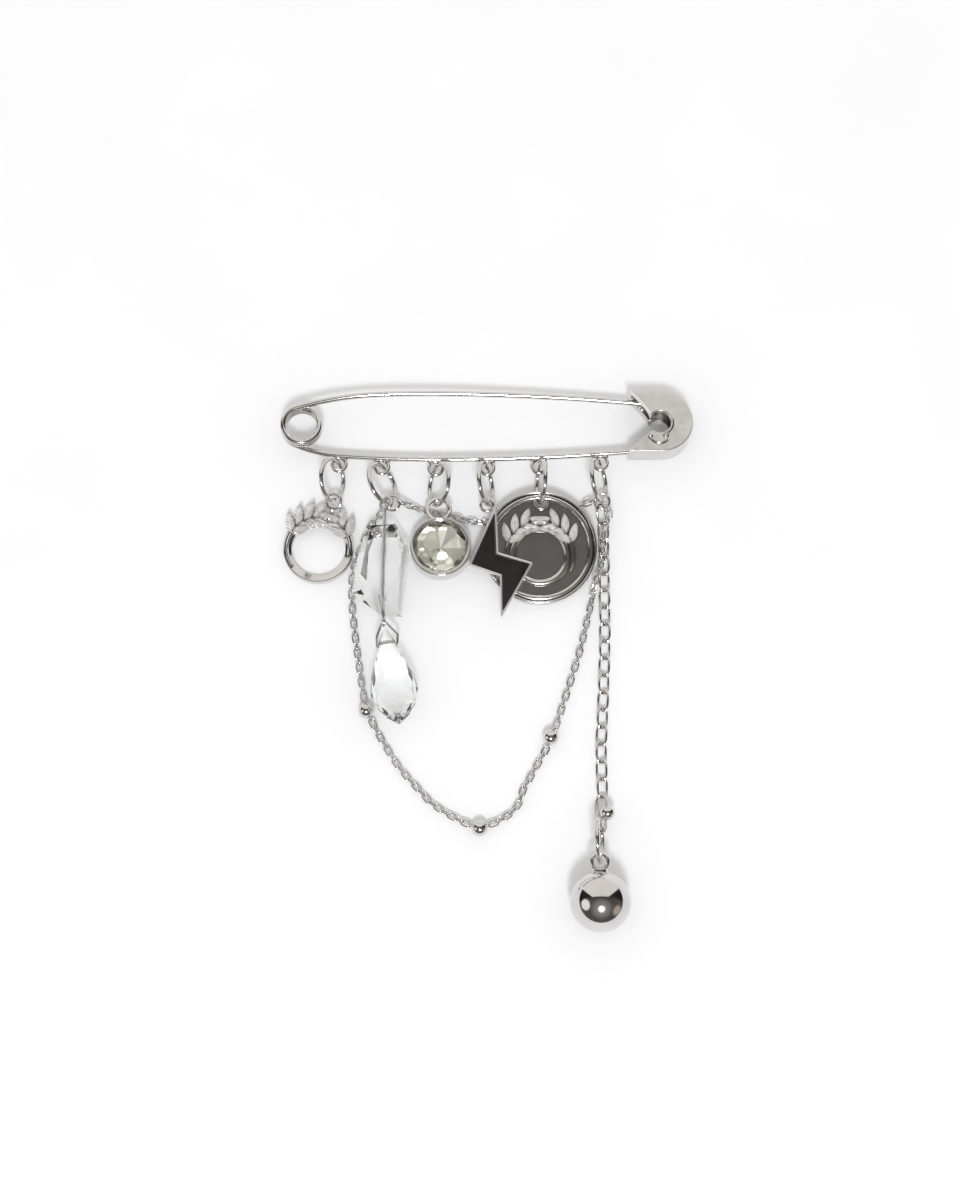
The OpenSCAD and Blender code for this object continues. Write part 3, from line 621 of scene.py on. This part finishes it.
jump_model = open_ring("jump_model", JUMP_R, JUMP_WIRE, JUMP_CUT, steps=56, sides=14)
for i, (at, turns) in enumerate(JUMP_RINGS):
    hang(jump_model, f"jump_ring_{i + 1}", at, turns)
small_model = open_ring("small_model", SMALL_R, SMALL_WIRE, SMALL_CUT, steps=36, sides=12)
for side, at, turns in SMALL_RINGS:
    hang(small_model, f"small_ring_{side}", at, turns)
for model in (jump_model, small_model):
    bpy.data.objects.remove(model)

# %% [markdown]
# ## The fine chains
# A cable chain's links are bent from hair-thin wire. They could be modelled and strung again, but
# each link would have to miss its neighbours, so the solids are copied: with their triangles
# joined, the light runs smoothly round the wire. Links so small need only half of the triangles.

# %% Smooth the fine chains
LINK_SHARE = 0.5

def copied(node, name):
    """A copy of a solid's mesh with its loose triangles joined."""
    piece = bpy.data.objects.new(name, nodes[node].data.copy())
    bpy.context.scene.collection.objects.link(piece)
    only(piece)
    bpy.ops.mesh.customdata_custom_splitnormals_clear()
    edit(piece)
    return welded(piece)

def thinned(piece, share):
    """Keeps this share of the piece's triangles."""
    only(piece)
    thin = piece.modifiers.new("thin", "DECIMATE")
    thin.ratio = share
    bpy.ops.object.modifier_apply(modifier="thin")
    return piece

for node in ("short_chain", "swag_chain"):
    finish(thinned(copied(node, node + "_links"), LINK_SHARE),
           bright, "polished_metal", node, smooth=50)

# %% [markdown]
# ## The extension chain
# Its links are longer, and pulled into ovals, where the solids have straight sides. The chain is
# parted into its links, the sides of each are curved towards its ends, and the links are joined
# again. The ends stay where they are, so the links still hook each other.

# %% Pull the links into ovals
LINK_WIRE_R = 0.22

def pulled_oval(link, wire):
    """Curves the straight sides of a link. Wire is the radius of its wire, in metres."""
    places = [v.co.copy() for v in link.data.vertices]
    middle = sum(places, Vector()) / len(places)
    far = max(places, key=lambda p: (p - middle).length)
    near = max(places, key=lambda p: (p - far).length)
    middle = (far + near) / 2
    along = (far - near).normalized()
    half = (far - near).length / 2 - wire
    beside = max(((p - middle) - along * along.dot(p - middle) for p in places),
                 key=lambda d: d.length)
    width = beside.length - wire
    beside.normalize()
    straight = half - width
    for v, p in zip(link.data.vertices, places):
        run = min(abs(along.dot(p - middle)), half)
        was = width if run < straight else math.sqrt(max(width ** 2 - (run - straight) ** 2, 0))
        oval = width * math.sqrt(max(1 - (run / half) ** 2, 0))
        v.co = p + beside * math.copysign(1, beside.dot(p - middle)) * (oval - was)

chain = copied("extension_chain", "extension_chain_links")
edit(chain)
bpy.ops.mesh.separate(type="LOOSE")
bpy.ops.object.mode_set(mode="OBJECT")
links = list(bpy.context.selected_objects)
for link in links:
    pulled_oval(link, LINK_WIRE_R * MM)
print("links:", len(links))
finish(joined(chain, links), bright, "polished_metal", "extension_chain", smooth=50)

# %% [markdown]
# ## The wires of the crystals
# The nugget's wire ends in a loop at each side, and the drop hangs in a wire triangle. Both are
# bent to fit the glass closely, so their solids are copied and shaded smooth, as the chains are.

# %% Smooth the wires
for node in ("nugget_wire", "drop_bail"):
    finish(copied(node, node + "_bent"), bright, "polished_metal", node, smooth=50)

# %% [markdown]
# ## The cut crystals
# Facets are flat, with edges that are a hair rounded by the polishing wheel, and that hair is what
# glints. The solids have the facets already. Their triangles are made whole faces again, so that
# the bevel rounds the real edges only.

# %% Cut the crystals
def rounded(piece, width, segments=2, angle=40):
    """Rounds the edges that are sharper than an angle, in degrees, by a width in millimetres."""
    only(piece)
    bevel = piece.modifiers.new("edges", "BEVEL")
    bevel.width = width * MM
    bevel.segments = segments
    bevel.limit_method = "ANGLE"
    bevel.angle_limit = math.radians(angle)
    bpy.ops.object.modifier_apply(modifier="edges")

for node, edge_width in (("nugget", 0.08), ("drop", 0.06)):
    cut = copied(node, node + "_cut")
    edit(cut)
    bpy.ops.mesh.dissolve_limited(angle_limit=math.radians(0.5))
    bpy.ops.object.mode_set(mode="OBJECT")
    rounded(cut, edge_width, segments=1, angle=4)
    finish(cut, crystal, "clear_crystal", node, smooth=0)

# %% [markdown]
# ## The round stone
# Its facets could be drawn one by one. Here it is ground as a cutter does it, because that gives
# true planes: a short cylinder is held to the wheel at one tilt and turned step by step, which
# makes a tier of facets, and each tilt makes another tier. The tilt wavers by a few degrees, as on
# a cheap stone, so that each facet shows another part of the room. The foil is marked last, on the
# faces under the girdle.

# %% Grind the round stone
STONE = Vector((-8.8, 21.2, 0))
STONE_R, STONE_DEPTH, STONE_MIDDLE = 5.28, 3.75, 2.6
GIRDLE_Z = 3
# How far the tilt wavers, in degrees, and how fast, in radians from facet to facet.
WAVER, WAVER_STEP = 3.5, 2.4
# Cuts are exact to this, in metres. The default of 0.1 mm would lose facets.
CUT_THRESHOLD = 1e-8
# Each tier: its tilt from level, the radius and the height of the circle that its facets touch,
# the number of facets, and how far the tier is turned.
TIERS = ((28, 5.25, 3.4, 8, 0), (37, 5.27, 3.34, 16, 11.25), (18, 3.45, 4.47, 8, 22.5),
         (141, 5.25, 3.0, 16, 11.25), (163, 0.0, 0.74, 8, 10), (164, 0.0, 0.74, 8, 32.5),
         (153, 4.2, 2.15, 12, 20))

def cylinder(name, at, r, depth, sides, turns=(0, 0, 0)):
    """An upright cylinder round a middle, turned in degrees."""
    nothing()
    bpy.ops.mesh.primitive_cylinder_add(
        vertices=sides, radius=r * MM, depth=depth * MM, location=Vector(at) * MM,
        rotation=[math.radians(v) for v in turns])
    return settled(name)

def ground(tilt, r, z, count, turn):
    """Grinds one tier of facets."""
    for k in range(count):
        a = math.radians(360 * k / count + turn)
        out = Vector((math.cos(a), math.sin(a), 0))
        t = math.radians(tilt + WAVER * math.sin(WAVER_STEP * k + turn))
        bpy.ops.mesh.select_all(action="SELECT")
        bpy.ops.mesh.bisect(plane_co=(STONE + out * r + Vector((0, 0, z))) * MM,
                            plane_no=out * math.sin(t) + Vector((0, 0, math.cos(t))),
                            use_fill=True, clear_outer=True, threshold=CUT_THRESHOLD)

stone = cylinder("stone_cut", STONE + Vector((0, 0, STONE_MIDDLE)), STONE_R, STONE_DEPTH, 96)
edit(stone)
for tier in TIERS:
    ground(*tier)
outward(stone)
foil = stone.data.attributes.new("foil", "FLOAT", "FACE")
foil.data.foreach_set("value", [float(f.center.z < GIRDLE_Z * MM) for f in stone.data.polygons])
finish(stone, foiled, "foiled_stone", "stone", smooth=0)

# %% [markdown]
# ## The cap
# The cap is pressed from soft sheet, so its face is flat, but all its edges roll over. A bevel
# would need clean edges all round, which the folded sheet doesn't have. So a copy of the solid is
# remeshed as one skin and smoothed, which rolls every edge alike, and then it is thinned.
# The edge of the beak and the rim of the notch are rolled into small beads, which are matt and
# painted paler than the face, as a painted highlight. The beak's roll ends in a small drop of
# metal.

# %% Press the cap
# The arcs of the beak's edge and of the notch's rim, and the thickness of the roll on each.
BEAK, BEAK_R, BEAK_Z, BEAK_ROLL = (16.9, 38.05), 17.42, 5.92, 0.6
NOTCH, NOTCH_R, NOTCH_Z, NOTCH_ROLL = (33.6, 45.5), 2.38, 5.98, 0.5
BEAK_ARC, NOTCH_ARC = (51.4, 31.2), (140, -62)
DROP_R, DROP_BESIDE = 0.36, Vector((0.05, -0.3, -0.1))
CAP_CELL, CAP_PASSES, CAP_SHARE = 0.065, 5, 0.4

def marked(piece, value):
    """Marks a piece as matt leaf with a painted highlight, 1, or as polished, 0, for its material.
    """
    mark = piece.data.attributes.new("leaf", "FLOAT", "POINT")
    mark.data.foreach_set("value", [value] * len(mark.data))
    return piece

def raised(points, z):
    """Level points, raised to a height."""
    return [p + Vector((0, 0, z)) for p in points]

beak_edge = raised(arc(BEAK, BEAK_R, *BEAK_ARC), BEAK_Z)
notch_rim = raised(arc(NOTCH, NOTCH_R, *NOTCH_ARC, step=4), NOTCH_Z)
cap = thinned(skinned(copied("cap", "cap_sheet"), CAP_CELL, CAP_PASSES), CAP_SHARE)
# The beak's roll and the notch's rim are marked matt and pale: a painted highlight.
rolls = [marked(drawn_wire("beak_roll", beak_edge, BEAK_ROLL), 1.0),
         marked(drawn_wire("notch_rim", notch_rim, NOTCH_ROLL), 0.6),
         marked(blob(beak_edge[-1] + DROP_BESIDE, DROP_R), 0.0)]
finish(joined(marked(cap, 0.0), rolls), satin, "polished_metal", "cap", smooth=60)

# %% [markdown]
# ## A leaf and a sprig
# Both the ring charm and the disc carry cast sprigs of leaves. A leaf could be sculpted, but a
# formula gives a crisp one at any size: a grid is drawn in to two points, raised along its middle
# rib, and ribbed by side veins that run out to the edge. A sprig is a bent stem with copies of the
# leaf in pairs, and one at its end.

# %% Model a leaf
LEAF_EDGE = 0.03
VEINS, VEIN_SWEEP, VEIN_DEPTH = 7, 1.3, 0.34
RIB_HEIGHT, RIB_WIDTH = 0.16, 0.16

def extruded(z):
    """Extrudes the selected faces by a height in millimetres."""
    bpy.ops.mesh.extrude_region_move(TRANSFORM_OT_translate={"value": (0, 0, z * MM)})

def leaf_model(name, length, width, thick, across=10, along=26):
    """A leaf along +X from the origin, which lies on z = 0. Its sizes are in millimetres."""
    nothing()
    bpy.ops.mesh.primitive_grid_add(x_subdivisions=along, y_subdivisions=across, size=2)
    leaf = bpy.context.object
    leaf.name = name
    for v in leaf.data.vertices:
        run, side = (v.co.x + 1) / 2, v.co.y
        outline = math.sin(math.pi * min(run ** 0.82, 1)) ** 0.75 if 0 < run < 1 else 0
        half = width / 2 * outline + LEAF_EDGE
        vein = 0.5 + 0.5 * math.cos(2 * math.pi * (run * VEINS - abs(side) * VEIN_SWEEP))
        swell = 0.55 + 0.45 * math.sin(math.pi * min(run + 0.12, 1))
        crown = thick * (0.45 + 0.55 * (1 - side * side)) * swell
        rib = RIB_HEIGHT * thick * math.exp(-(side / RIB_WIDTH) ** 2)
        height = crown + rib - VEIN_DEPTH * thick * vein * abs(side) ** 0.5
        v.co = (run * length * MM, side * half * MM, height * MM)
    edit(leaf)
    extruded(-thick * 0.5)
    bpy.ops.transform.resize(value=(1, 1, 0), center_override=(0, 0, 0))
    # The leaf's mark makes it matt, and paints it paler as a highlight.
    return marked(welded(leaf), 1.0)

print("ready: extruded, leaf_model")

# %% Lay a sprig
LEAF_TILT, LEAF_SPLAY = -7, 38
STEM_LIFT = 0.35

def around(centre, r, angle):
    """The point of a circle at an angle in degrees."""
    a = math.radians(angle)
    return Vector(centre) + r * Vector((math.cos(a), math.sin(a)))

def sprig(leaf, name, centre, r, start, end, pairs, z, stem=0.3):
    """Leaves in pairs along a stem that is bent round a centre from one angle to another."""
    step = (end - start) / pairs
    ahead = math.copysign(90, step)
    parts = []
    for k in range(pairs + 1):
        angle = start + k * step
        for side in ((-1, 1) if k < pairs else (0,)):
            parts.append(placed_copy(leaf, name, (*around(centre, r, angle), z),
                                     (0, LEAF_TILT, angle + ahead + side * LEAF_SPLAY)))
    nothing()
    bpy.ops.mesh.primitive_circle_add(
        vertices=10, radius=stem * MM,
        location=Vector((*around(centre, r, start), z + STEM_LIFT)) * MM,
        rotation=(math.radians(90), 0, math.radians(start)))
    return parts + [spun(settled(name + "_stem"), centre, 12, end - start)]

print("ready: around, sprig")

# %% [markdown]
# ## The ring charm
# The band slopes inward from a crest near its outer edge, as a bowl's rim does, and that is why its
# left and right sides look dark and its foot pale. A flat ring with rounded edges would look the
# same all round, so the real section is drawn once and spun. Leaves cover the upper part, and the
# bail is soldered behind them.

# %% Spin the band
BAND = (-32.4, 21.4)
# The section: distances from the middle, and heights.
SECTION = ((5.15, 0.1), (5.3, 0), (6.6, 0), (6.8, 0.2), (6.8, 1.45), (6.7, 1.68),
           (6.55, 1.72), (5.25, 0.98), (5.15, 0.8))

nothing()
bpy.ops.mesh.primitive_circle_add(vertices=len(SECTION), radius=MM)
band = bpy.context.object
band.name = "leaf_ring_cast"
for v, (r, z) in zip(band.data.vertices, SECTION):
    v.co = ((BAND[0] + r) * MM, BAND[1] * MM, z * MM)
marked(spun(band, BAND, 120, 360, ends=False), 0.0)
print("band:", [round(v / MM, 1) for v in band.dimensions], "mm")

# %% Cast the ring charm
# The leaf's length, width and thickness.
RING_LEAF = (4.3, 1.95, 1.0)
# Each sprig: the angles where it starts and ends, and its pairs of leaves.
RING_SPRIGS = ((150, 84, 4), (22, 58, 2))
SPRIG_R, SPRIG_Z = 5.97, 1.45
RING_BAIL, RING_BAIL_TURNS = (-29.54, 30.52, 2.53), (18.1, -9.2, 1)
RING_BAIL_R, RING_BAIL_WIRE = 1.45, 0.6
# The blob between the sprigs: where it sits on the band, its height and its radius.
KNOT_AT, KNOT_ANGLE, KNOT_Z, KNOT_R = 6.3, 72, 1.9, 0.95
SOLDER, SOLDER_WIRE = ((-30.3, 27.4, 1.1), (-29.9, 28.3, 1.6), (-29.84, 29.1, 2.0)), 0.8

def ring_of(at, turns, r, w, major=40, minor=14):
    """A closed ring of wire of thickness w round a middle."""
    nothing()
    bpy.ops.mesh.primitive_torus_add(
        major_radius=r * MM, minor_radius=w / 2 * MM, major_segments=major, minor_segments=minor,
        location=Vector(at) * MM, rotation=[math.radians(v) for v in turns])
    return settled()

leaf = leaf_model("leaf", *RING_LEAF)
parts = []
for start, end, pairs in RING_SPRIGS:
    parts += sprig(leaf, "leaf_on_ring", BAND, SPRIG_R, start, end, pairs, SPRIG_Z)
bpy.data.objects.remove(leaf)
parts.append(ring_of(RING_BAIL, RING_BAIL_TURNS, RING_BAIL_R, RING_BAIL_WIRE))
parts.append(blob((*around(BAND, KNOT_AT, KNOT_ANGLE), KNOT_Z), KNOT_R, scale=(1, 1, 0.8)))
parts.append(drawn_wire("solder", [Vector(p) for p in SOLDER], SOLDER_WIRE))
finish(joined(band, parts), cast, "polished_metal", "leaf_ring", smooth=30)

# %% [markdown]
# ## The bezel
# A thin cup holds the stone. It could be spun like the band, but an inset is simpler: the face of
# a cylinder is inset by the wall and pushed down to the floor. The lip is rolled over the stone's
# edge, so a round bead is laid on it. The bail is hammered flat, and it leans to the north, so that
# it catches the pale card.

# %% Turn the bezel
CUP_R, CUP_DEPTH, CUP_WALL, CUP_HOLLOW, CUP_EDGE = 5.85, 3.9, 0.5, 3.3, 0.22
LIP_R, LIP_WIRE, LIP_Z = 5.42, 0.86, 3.46
BAIL, BAIL_R, BAIL_WIRE = Vector((-9.23, 28.67, 3.29)), 2.17, 0.9
BAIL_FLATNESS, BAIL_LEAN = 0.45, (-5, -5)

def edit_top(piece):
    """Goes into edit mode with only the piece's top face selected."""
    edit(piece)
    bpy.ops.mesh.select_mode(type="FACE")
    bpy.ops.mesh.select_all(action="DESELECT")
    bpy.ops.object.mode_set(mode="OBJECT")
    for face in piece.data.polygons:
        face.select = face.normal.z > 0.9
    bpy.ops.object.mode_set(mode="EDIT")

def stepped(*steps):
    """Insets the selected face in steps, each by a width and a rise in millimetres."""
    for width, rise in steps:
        bpy.ops.mesh.inset(thickness=width * MM, depth=rise * MM)

def squashed(piece, at, share, turns=(0, 0)):
    """Flattens a piece about a point to a share, then turns it about X and Y in degrees."""
    point = Vector(at) * MM
    piece.data.transform(
        Matrix.Translation(point) @ Matrix.Rotation(math.radians(turns[0]), 4, "X")
        @ Matrix.Rotation(math.radians(turns[1]), 4, "Y") @ Matrix.Diagonal((1, 1, share, 1))
        @ Matrix.Translation(-point))
    return piece

cup = cylinder("bezel_cup", STONE + Vector((0, 0, CUP_DEPTH / 2)), CUP_R, CUP_DEPTH, 96)
edit_top(cup)
stepped((CUP_WALL, 0))
extruded(-CUP_HOLLOW)
bpy.ops.object.mode_set(mode="OBJECT")
rounded(cup, CUP_EDGE, segments=4, angle=60)
lip = ring_of(STONE + Vector((0, 0, LIP_Z)), (0, 0, 0), LIP_R, LIP_WIRE, 96, 20)
bail = squashed(ring_of(BAIL, (0, 0, 0), BAIL_R, BAIL_WIRE, 56, 20),
                BAIL, BAIL_FLATNESS, BAIL_LEAN)
finish(joined(cup, [lip, bail]), bright, "polished_metal", "bezel", smooth=50)

# %% [markdown]
# ## The disc
# The disc is struck from a blank, and it leans on the chain, with its upper edge raised by 6
# degrees. It is modelled level, which is simpler, and leaned last. Its rim is struck in steps: each
# step is an inset of the face, level or sunk. A hole for the ring is cut, and round beads are laid
# on: a thin one on the edge, a wide one inside it, one round the middle and one round the hole.

# %% Strike the disc
DISC = Vector((10.3, 21.5, 0))
DISC_R, DISC_THICK, DISC_LEAN = 11, 1.45, 6
ON_DISC = (Matrix.Translation(Vector((0, DISC.y - DISC_R, 0)) * MM)
           @ Matrix.Rotation(math.radians(DISC_LEAN), 4, "X")
           @ Matrix.Translation(Vector((0, DISC_R - DISC.y, 0)) * MM))
RIM = ((0.5, 0.0), (0.04, -0.38), (1.1, 0.0))
FIELD_Z = 1.06
HOLE = DISC + Vector((0.3, 8.95, 0))
HOLE_R = 1.1

def leaned(piece):
    """Leans a piece with the disc."""
    piece.data.transform(ON_DISC)
    return piece

disc = cylinder("disc_struck", DISC + Vector((0, 0, DISC_THICK / 2)), DISC_R, DISC_THICK, 160)
edit_top(disc)
stepped(*RIM)
bpy.ops.object.mode_set(mode="OBJECT")
drill = cylinder("drill", HOLE, HOLE_R, 8, 48)
only(disc)
hole = disc.modifiers.new("hole", "BOOLEAN")
hole.object = drill
hole.solver = "EXACT"
bpy.ops.object.modifier_apply(modifier="hole")
bpy.data.objects.remove(drill)
marked(disc, 0.0)
print("disc:", [round(v / MM, 1) for v in disc.dimensions], "mm")

# %% Lay the beads and the sprigs on
MIDDLE = DISC + Vector((0, -1.6, 0))
# Each bead: its middle and height, its radius, its thickness, its segments, and how flat it is.
DISC_BEADS = ((MIDDLE, FIELD_Z, 5.3, 1.4, (96, 20), 0.75),
              (DISC, FIELD_Z, 9.85, 1.2, (160, 20), 0.75),
              (DISC, 1.47, 10.73, 0.54, (160, 16), 1),
              (HOLE, 1.2, 1.4, 0.5, (40, 12), 1))
DISC_LEAF = (3.9, 1.55, 0.75)
DISC_SPRIGS = ((24, 76, 3), (156, 104, 3))
DISC_SPRIG_R, DISC_SPRIG_Z, DISC_STEM = 6.6, 1.1, 0.22

parts = [squashed(ring_of(middle + Vector((0, 0, z)), (0, 0, 0), r, w, *segments), (0, 0, z), share)
         for middle, z, r, w, segments, share in DISC_BEADS]
small_leaf = leaf_model("small_leaf", *DISC_LEAF)
for start, end, pairs in DISC_SPRIGS:
    parts += sprig(small_leaf, "leaf_on_disc", MIDDLE.xy, DISC_SPRIG_R, start, end, pairs,
                   DISC_SPRIG_Z, DISC_STEM)
bpy.data.objects.remove(small_leaf)
finish(leaned(joined(disc, parts)), dark, "dark_metal", "disc", smooth=30)

# %% [markdown]
# ## The bolt
# The lightning bolt is a cast tray with a narrow wall. Its outline starts as a circle of six
# points, which are moved to its corners, because one face is the easiest thing to raise and to
# inset. The wall's edges are so soft that the wall is nearly round. The bolt lies on the disc and
# leans with it, and a stalk with an eye joins it to its ring.

# %% Cast the bolt's frame
BOLT = ((1.9, 29.6), (2.3, 20.2), (8.9, 18.2), (2.7, 7.3), (2.6, 15.6), (-3.4, 17.7))
BOLT_Z, BOLT_THICK, BOLT_WALL, BOLT_EDGE, TRAY_HOLLOW = 1.85, 1.8, 0.4, 0.195, 1.0
BOLT_EYE, BOLT_EYE_TURNS, BOLT_EYE_R, BOLT_WIRE = (0.09, 29.2, 4.45), (4, -0.7, 0.8), 1.2, 0.6
STALK = ((1.09, 28.54, 4.45), (1.5, 28.0, 4.5), (1.99, 27.4, 4.55))

def bolt_blank(name, z):
    """The bolt's outline as one face at a height, selected in edit mode."""
    nothing()
    bpy.ops.mesh.primitive_circle_add(vertices=len(BOLT), radius=5 * MM, fill_type="NGON")
    blank = bpy.context.object
    blank.name = name
    for v, (x, y) in zip(blank.data.vertices, reversed(BOLT)):
        v.co = (x * MM, y * MM, z * MM)
    edit(blank)
    bpy.ops.mesh.select_mode(type="FACE")
    bpy.ops.mesh.normals_make_consistent(inside=False)
    return blank

tray = bolt_blank("bolt_tray", BOLT_Z)
extruded(BOLT_THICK)
stepped((BOLT_WALL, 0))
extruded(-TRAY_HOLLOW)
outward(tray)
rounded(tray, BOLT_EDGE, segments=5, angle=50)
leaned(tray)
eye = ring_of(BOLT_EYE, BOLT_EYE_TURNS, BOLT_EYE_R, BOLT_WIRE)
stalk = drawn_wire("stalk", [Vector(p) for p in STALK], BOLT_WIRE)
# The tray's mark makes its wall partly matt, and paints it paler as a highlight.
finish(joined(marked(tray, 0.6), [marked(eye, 0.0), marked(stalk, 0.0)]),
       satin, "polished_metal", "bolt_frame", smooth=50)

# %% [markdown]
# ## The bolt's enamel
# Enamel is melted glass: it fills the tray and rises a little towards the middle. The same outline
# is inset a hair further than the wall and raised, and small steps inward make its soft edge.

# %% Fill the bolt
FILL_Z, FILL_THICK, FILL_INSET = BOLT_Z + 0.85, 0.72, 0.42
FILL_DOME = ((0.12, 0.06), (0.2, 0.05), (0.35, 0.03))

fill = bolt_blank("bolt_fill", FILL_Z)
stepped((FILL_INSET, 0))
bpy.ops.mesh.select_all(action="INVERT")
bpy.ops.mesh.delete(type="FACE")
bpy.ops.mesh.select_all(action="SELECT")
extruded(FILL_THICK)
stepped(*FILL_DOME)
finish(leaned(outward(fill)), enamel, "dark_enamel", "bolt_enamel", smooth=50)

# %% [markdown]
# ## The ball
# A mirror ball shows every fault in its shape, so it is a fine sphere and not a smoothed cube. A
# collar and a strong eye are soldered on top.

# %% Polish the ball
BALL = Vector((20.8, -46.8, 5.6))
BALL_R = 5.59
COLLAR_R, COLLAR_H, COLLAR_EDGE = 1.5, 0.8, 0.22
BALL_EYE_R, BALL_EYE_WIRE, BALL_EYE_UP = 1.5, 0.75, 1.75

def sphere(name, at, r, segments):
    """A sphere whose facets are too fine to show."""
    blob(at, r, segments, segments // 2)
    return settled(name)

ball = sphere("ball_polished", BALL, BALL_R, 96)
collar = cylinder("collar", BALL + Vector((0, BALL_R, 0)), COLLAR_R, COLLAR_H, 48, (90, 0, 0))
rounded(collar, COLLAR_EDGE, segments=4)
ball_eye = ring_of(BALL + Vector((0, BALL_R + BALL_EYE_UP, 0)), (0, 0, 0),
                   BALL_EYE_R, BALL_EYE_WIRE, 56, 18)
finish(joined(ball, [collar, ball_eye]), bright, "polished_metal", "ball", smooth=60)

# %% [markdown]
# ## The beads
# The small beads of the swag chain are the same thing as the ball, with a loop at each side. A loop
# stands on edge and faces the link that it holds. The bead at the end of the extension chain sits
# on a short neck above its loop.

# %% Thread the beads
BEAD_R, BEAD_LOOP_R, BEAD_LOOP_WIRE, BEAD_LOOP_OUT = 1.5, 0.52, 0.3, 0.27
# Each bead: its middle, and the links before and after it.
BEADS = (((12.1, -15.5, 1.5), (13.2, -13, 1), (11.1, -18, 1)),
         ((-1.3, -32.7, 1.5), (1.6, -31.6, 1), (-4.2, -31.6, 1)),
         ((-22.7, -10.4, 1.5), (-21.3, -13.2, 1), (-23.3, -7.6, 1.1)))

def loop_beside(centre, toward):
    """A standing loop on the side of a bead that looks toward a point."""
    way = (Vector(toward) - Vector(centre)).normalized()
    return ring_of(Vector(centre) + way * (BEAD_R + BEAD_LOOP_OUT),
                   (90, 0, math.degrees(math.atan2(way.y, way.x))),
                   BEAD_LOOP_R, BEAD_LOOP_WIRE, 24, 10)

for i, (at, before, after) in enumerate(BEADS):
    bead = sphere(f"bead_{i + 1}_ball", at, BEAD_R, 64)
    joined(bead, [loop_beside(at, link) for link in (before, after)])
    finish(bead, bright, "polished_metal", f"swag_bead_{i + 1}", smooth=60)

# %% Set the end bead
END_BEAD, END_BEAD_R = Vector((22.45, -30.1, 3.4)), 1.4
END_LOOP, END_LOOP_TURNS = Vector((22.4, -30.85, 0.85)), (90, 0, 8)
END_LOOP_R, END_LOOP_WIRE, NECK_WIRE = 0.6, 0.34, 0.6
NECK_BOW = Vector((0, 0, 0.3))

end_bead = sphere("end_bead_ball", END_BEAD, END_BEAD_R, 64)
neck_path = [END_LOOP + Vector((0, 0, END_LOOP_R)), (END_LOOP + END_BEAD) / 2 + NECK_BOW, END_BEAD]
neck = drawn_wire("end_neck", neck_path, NECK_WIRE)
end_loop = ring_of(END_LOOP, END_LOOP_TURNS, END_LOOP_R, END_LOOP_WIRE, 28, 10)
finish(joined(end_bead, [end_loop, neck]), bright, "polished_metal", "end_bead", smooth=60)
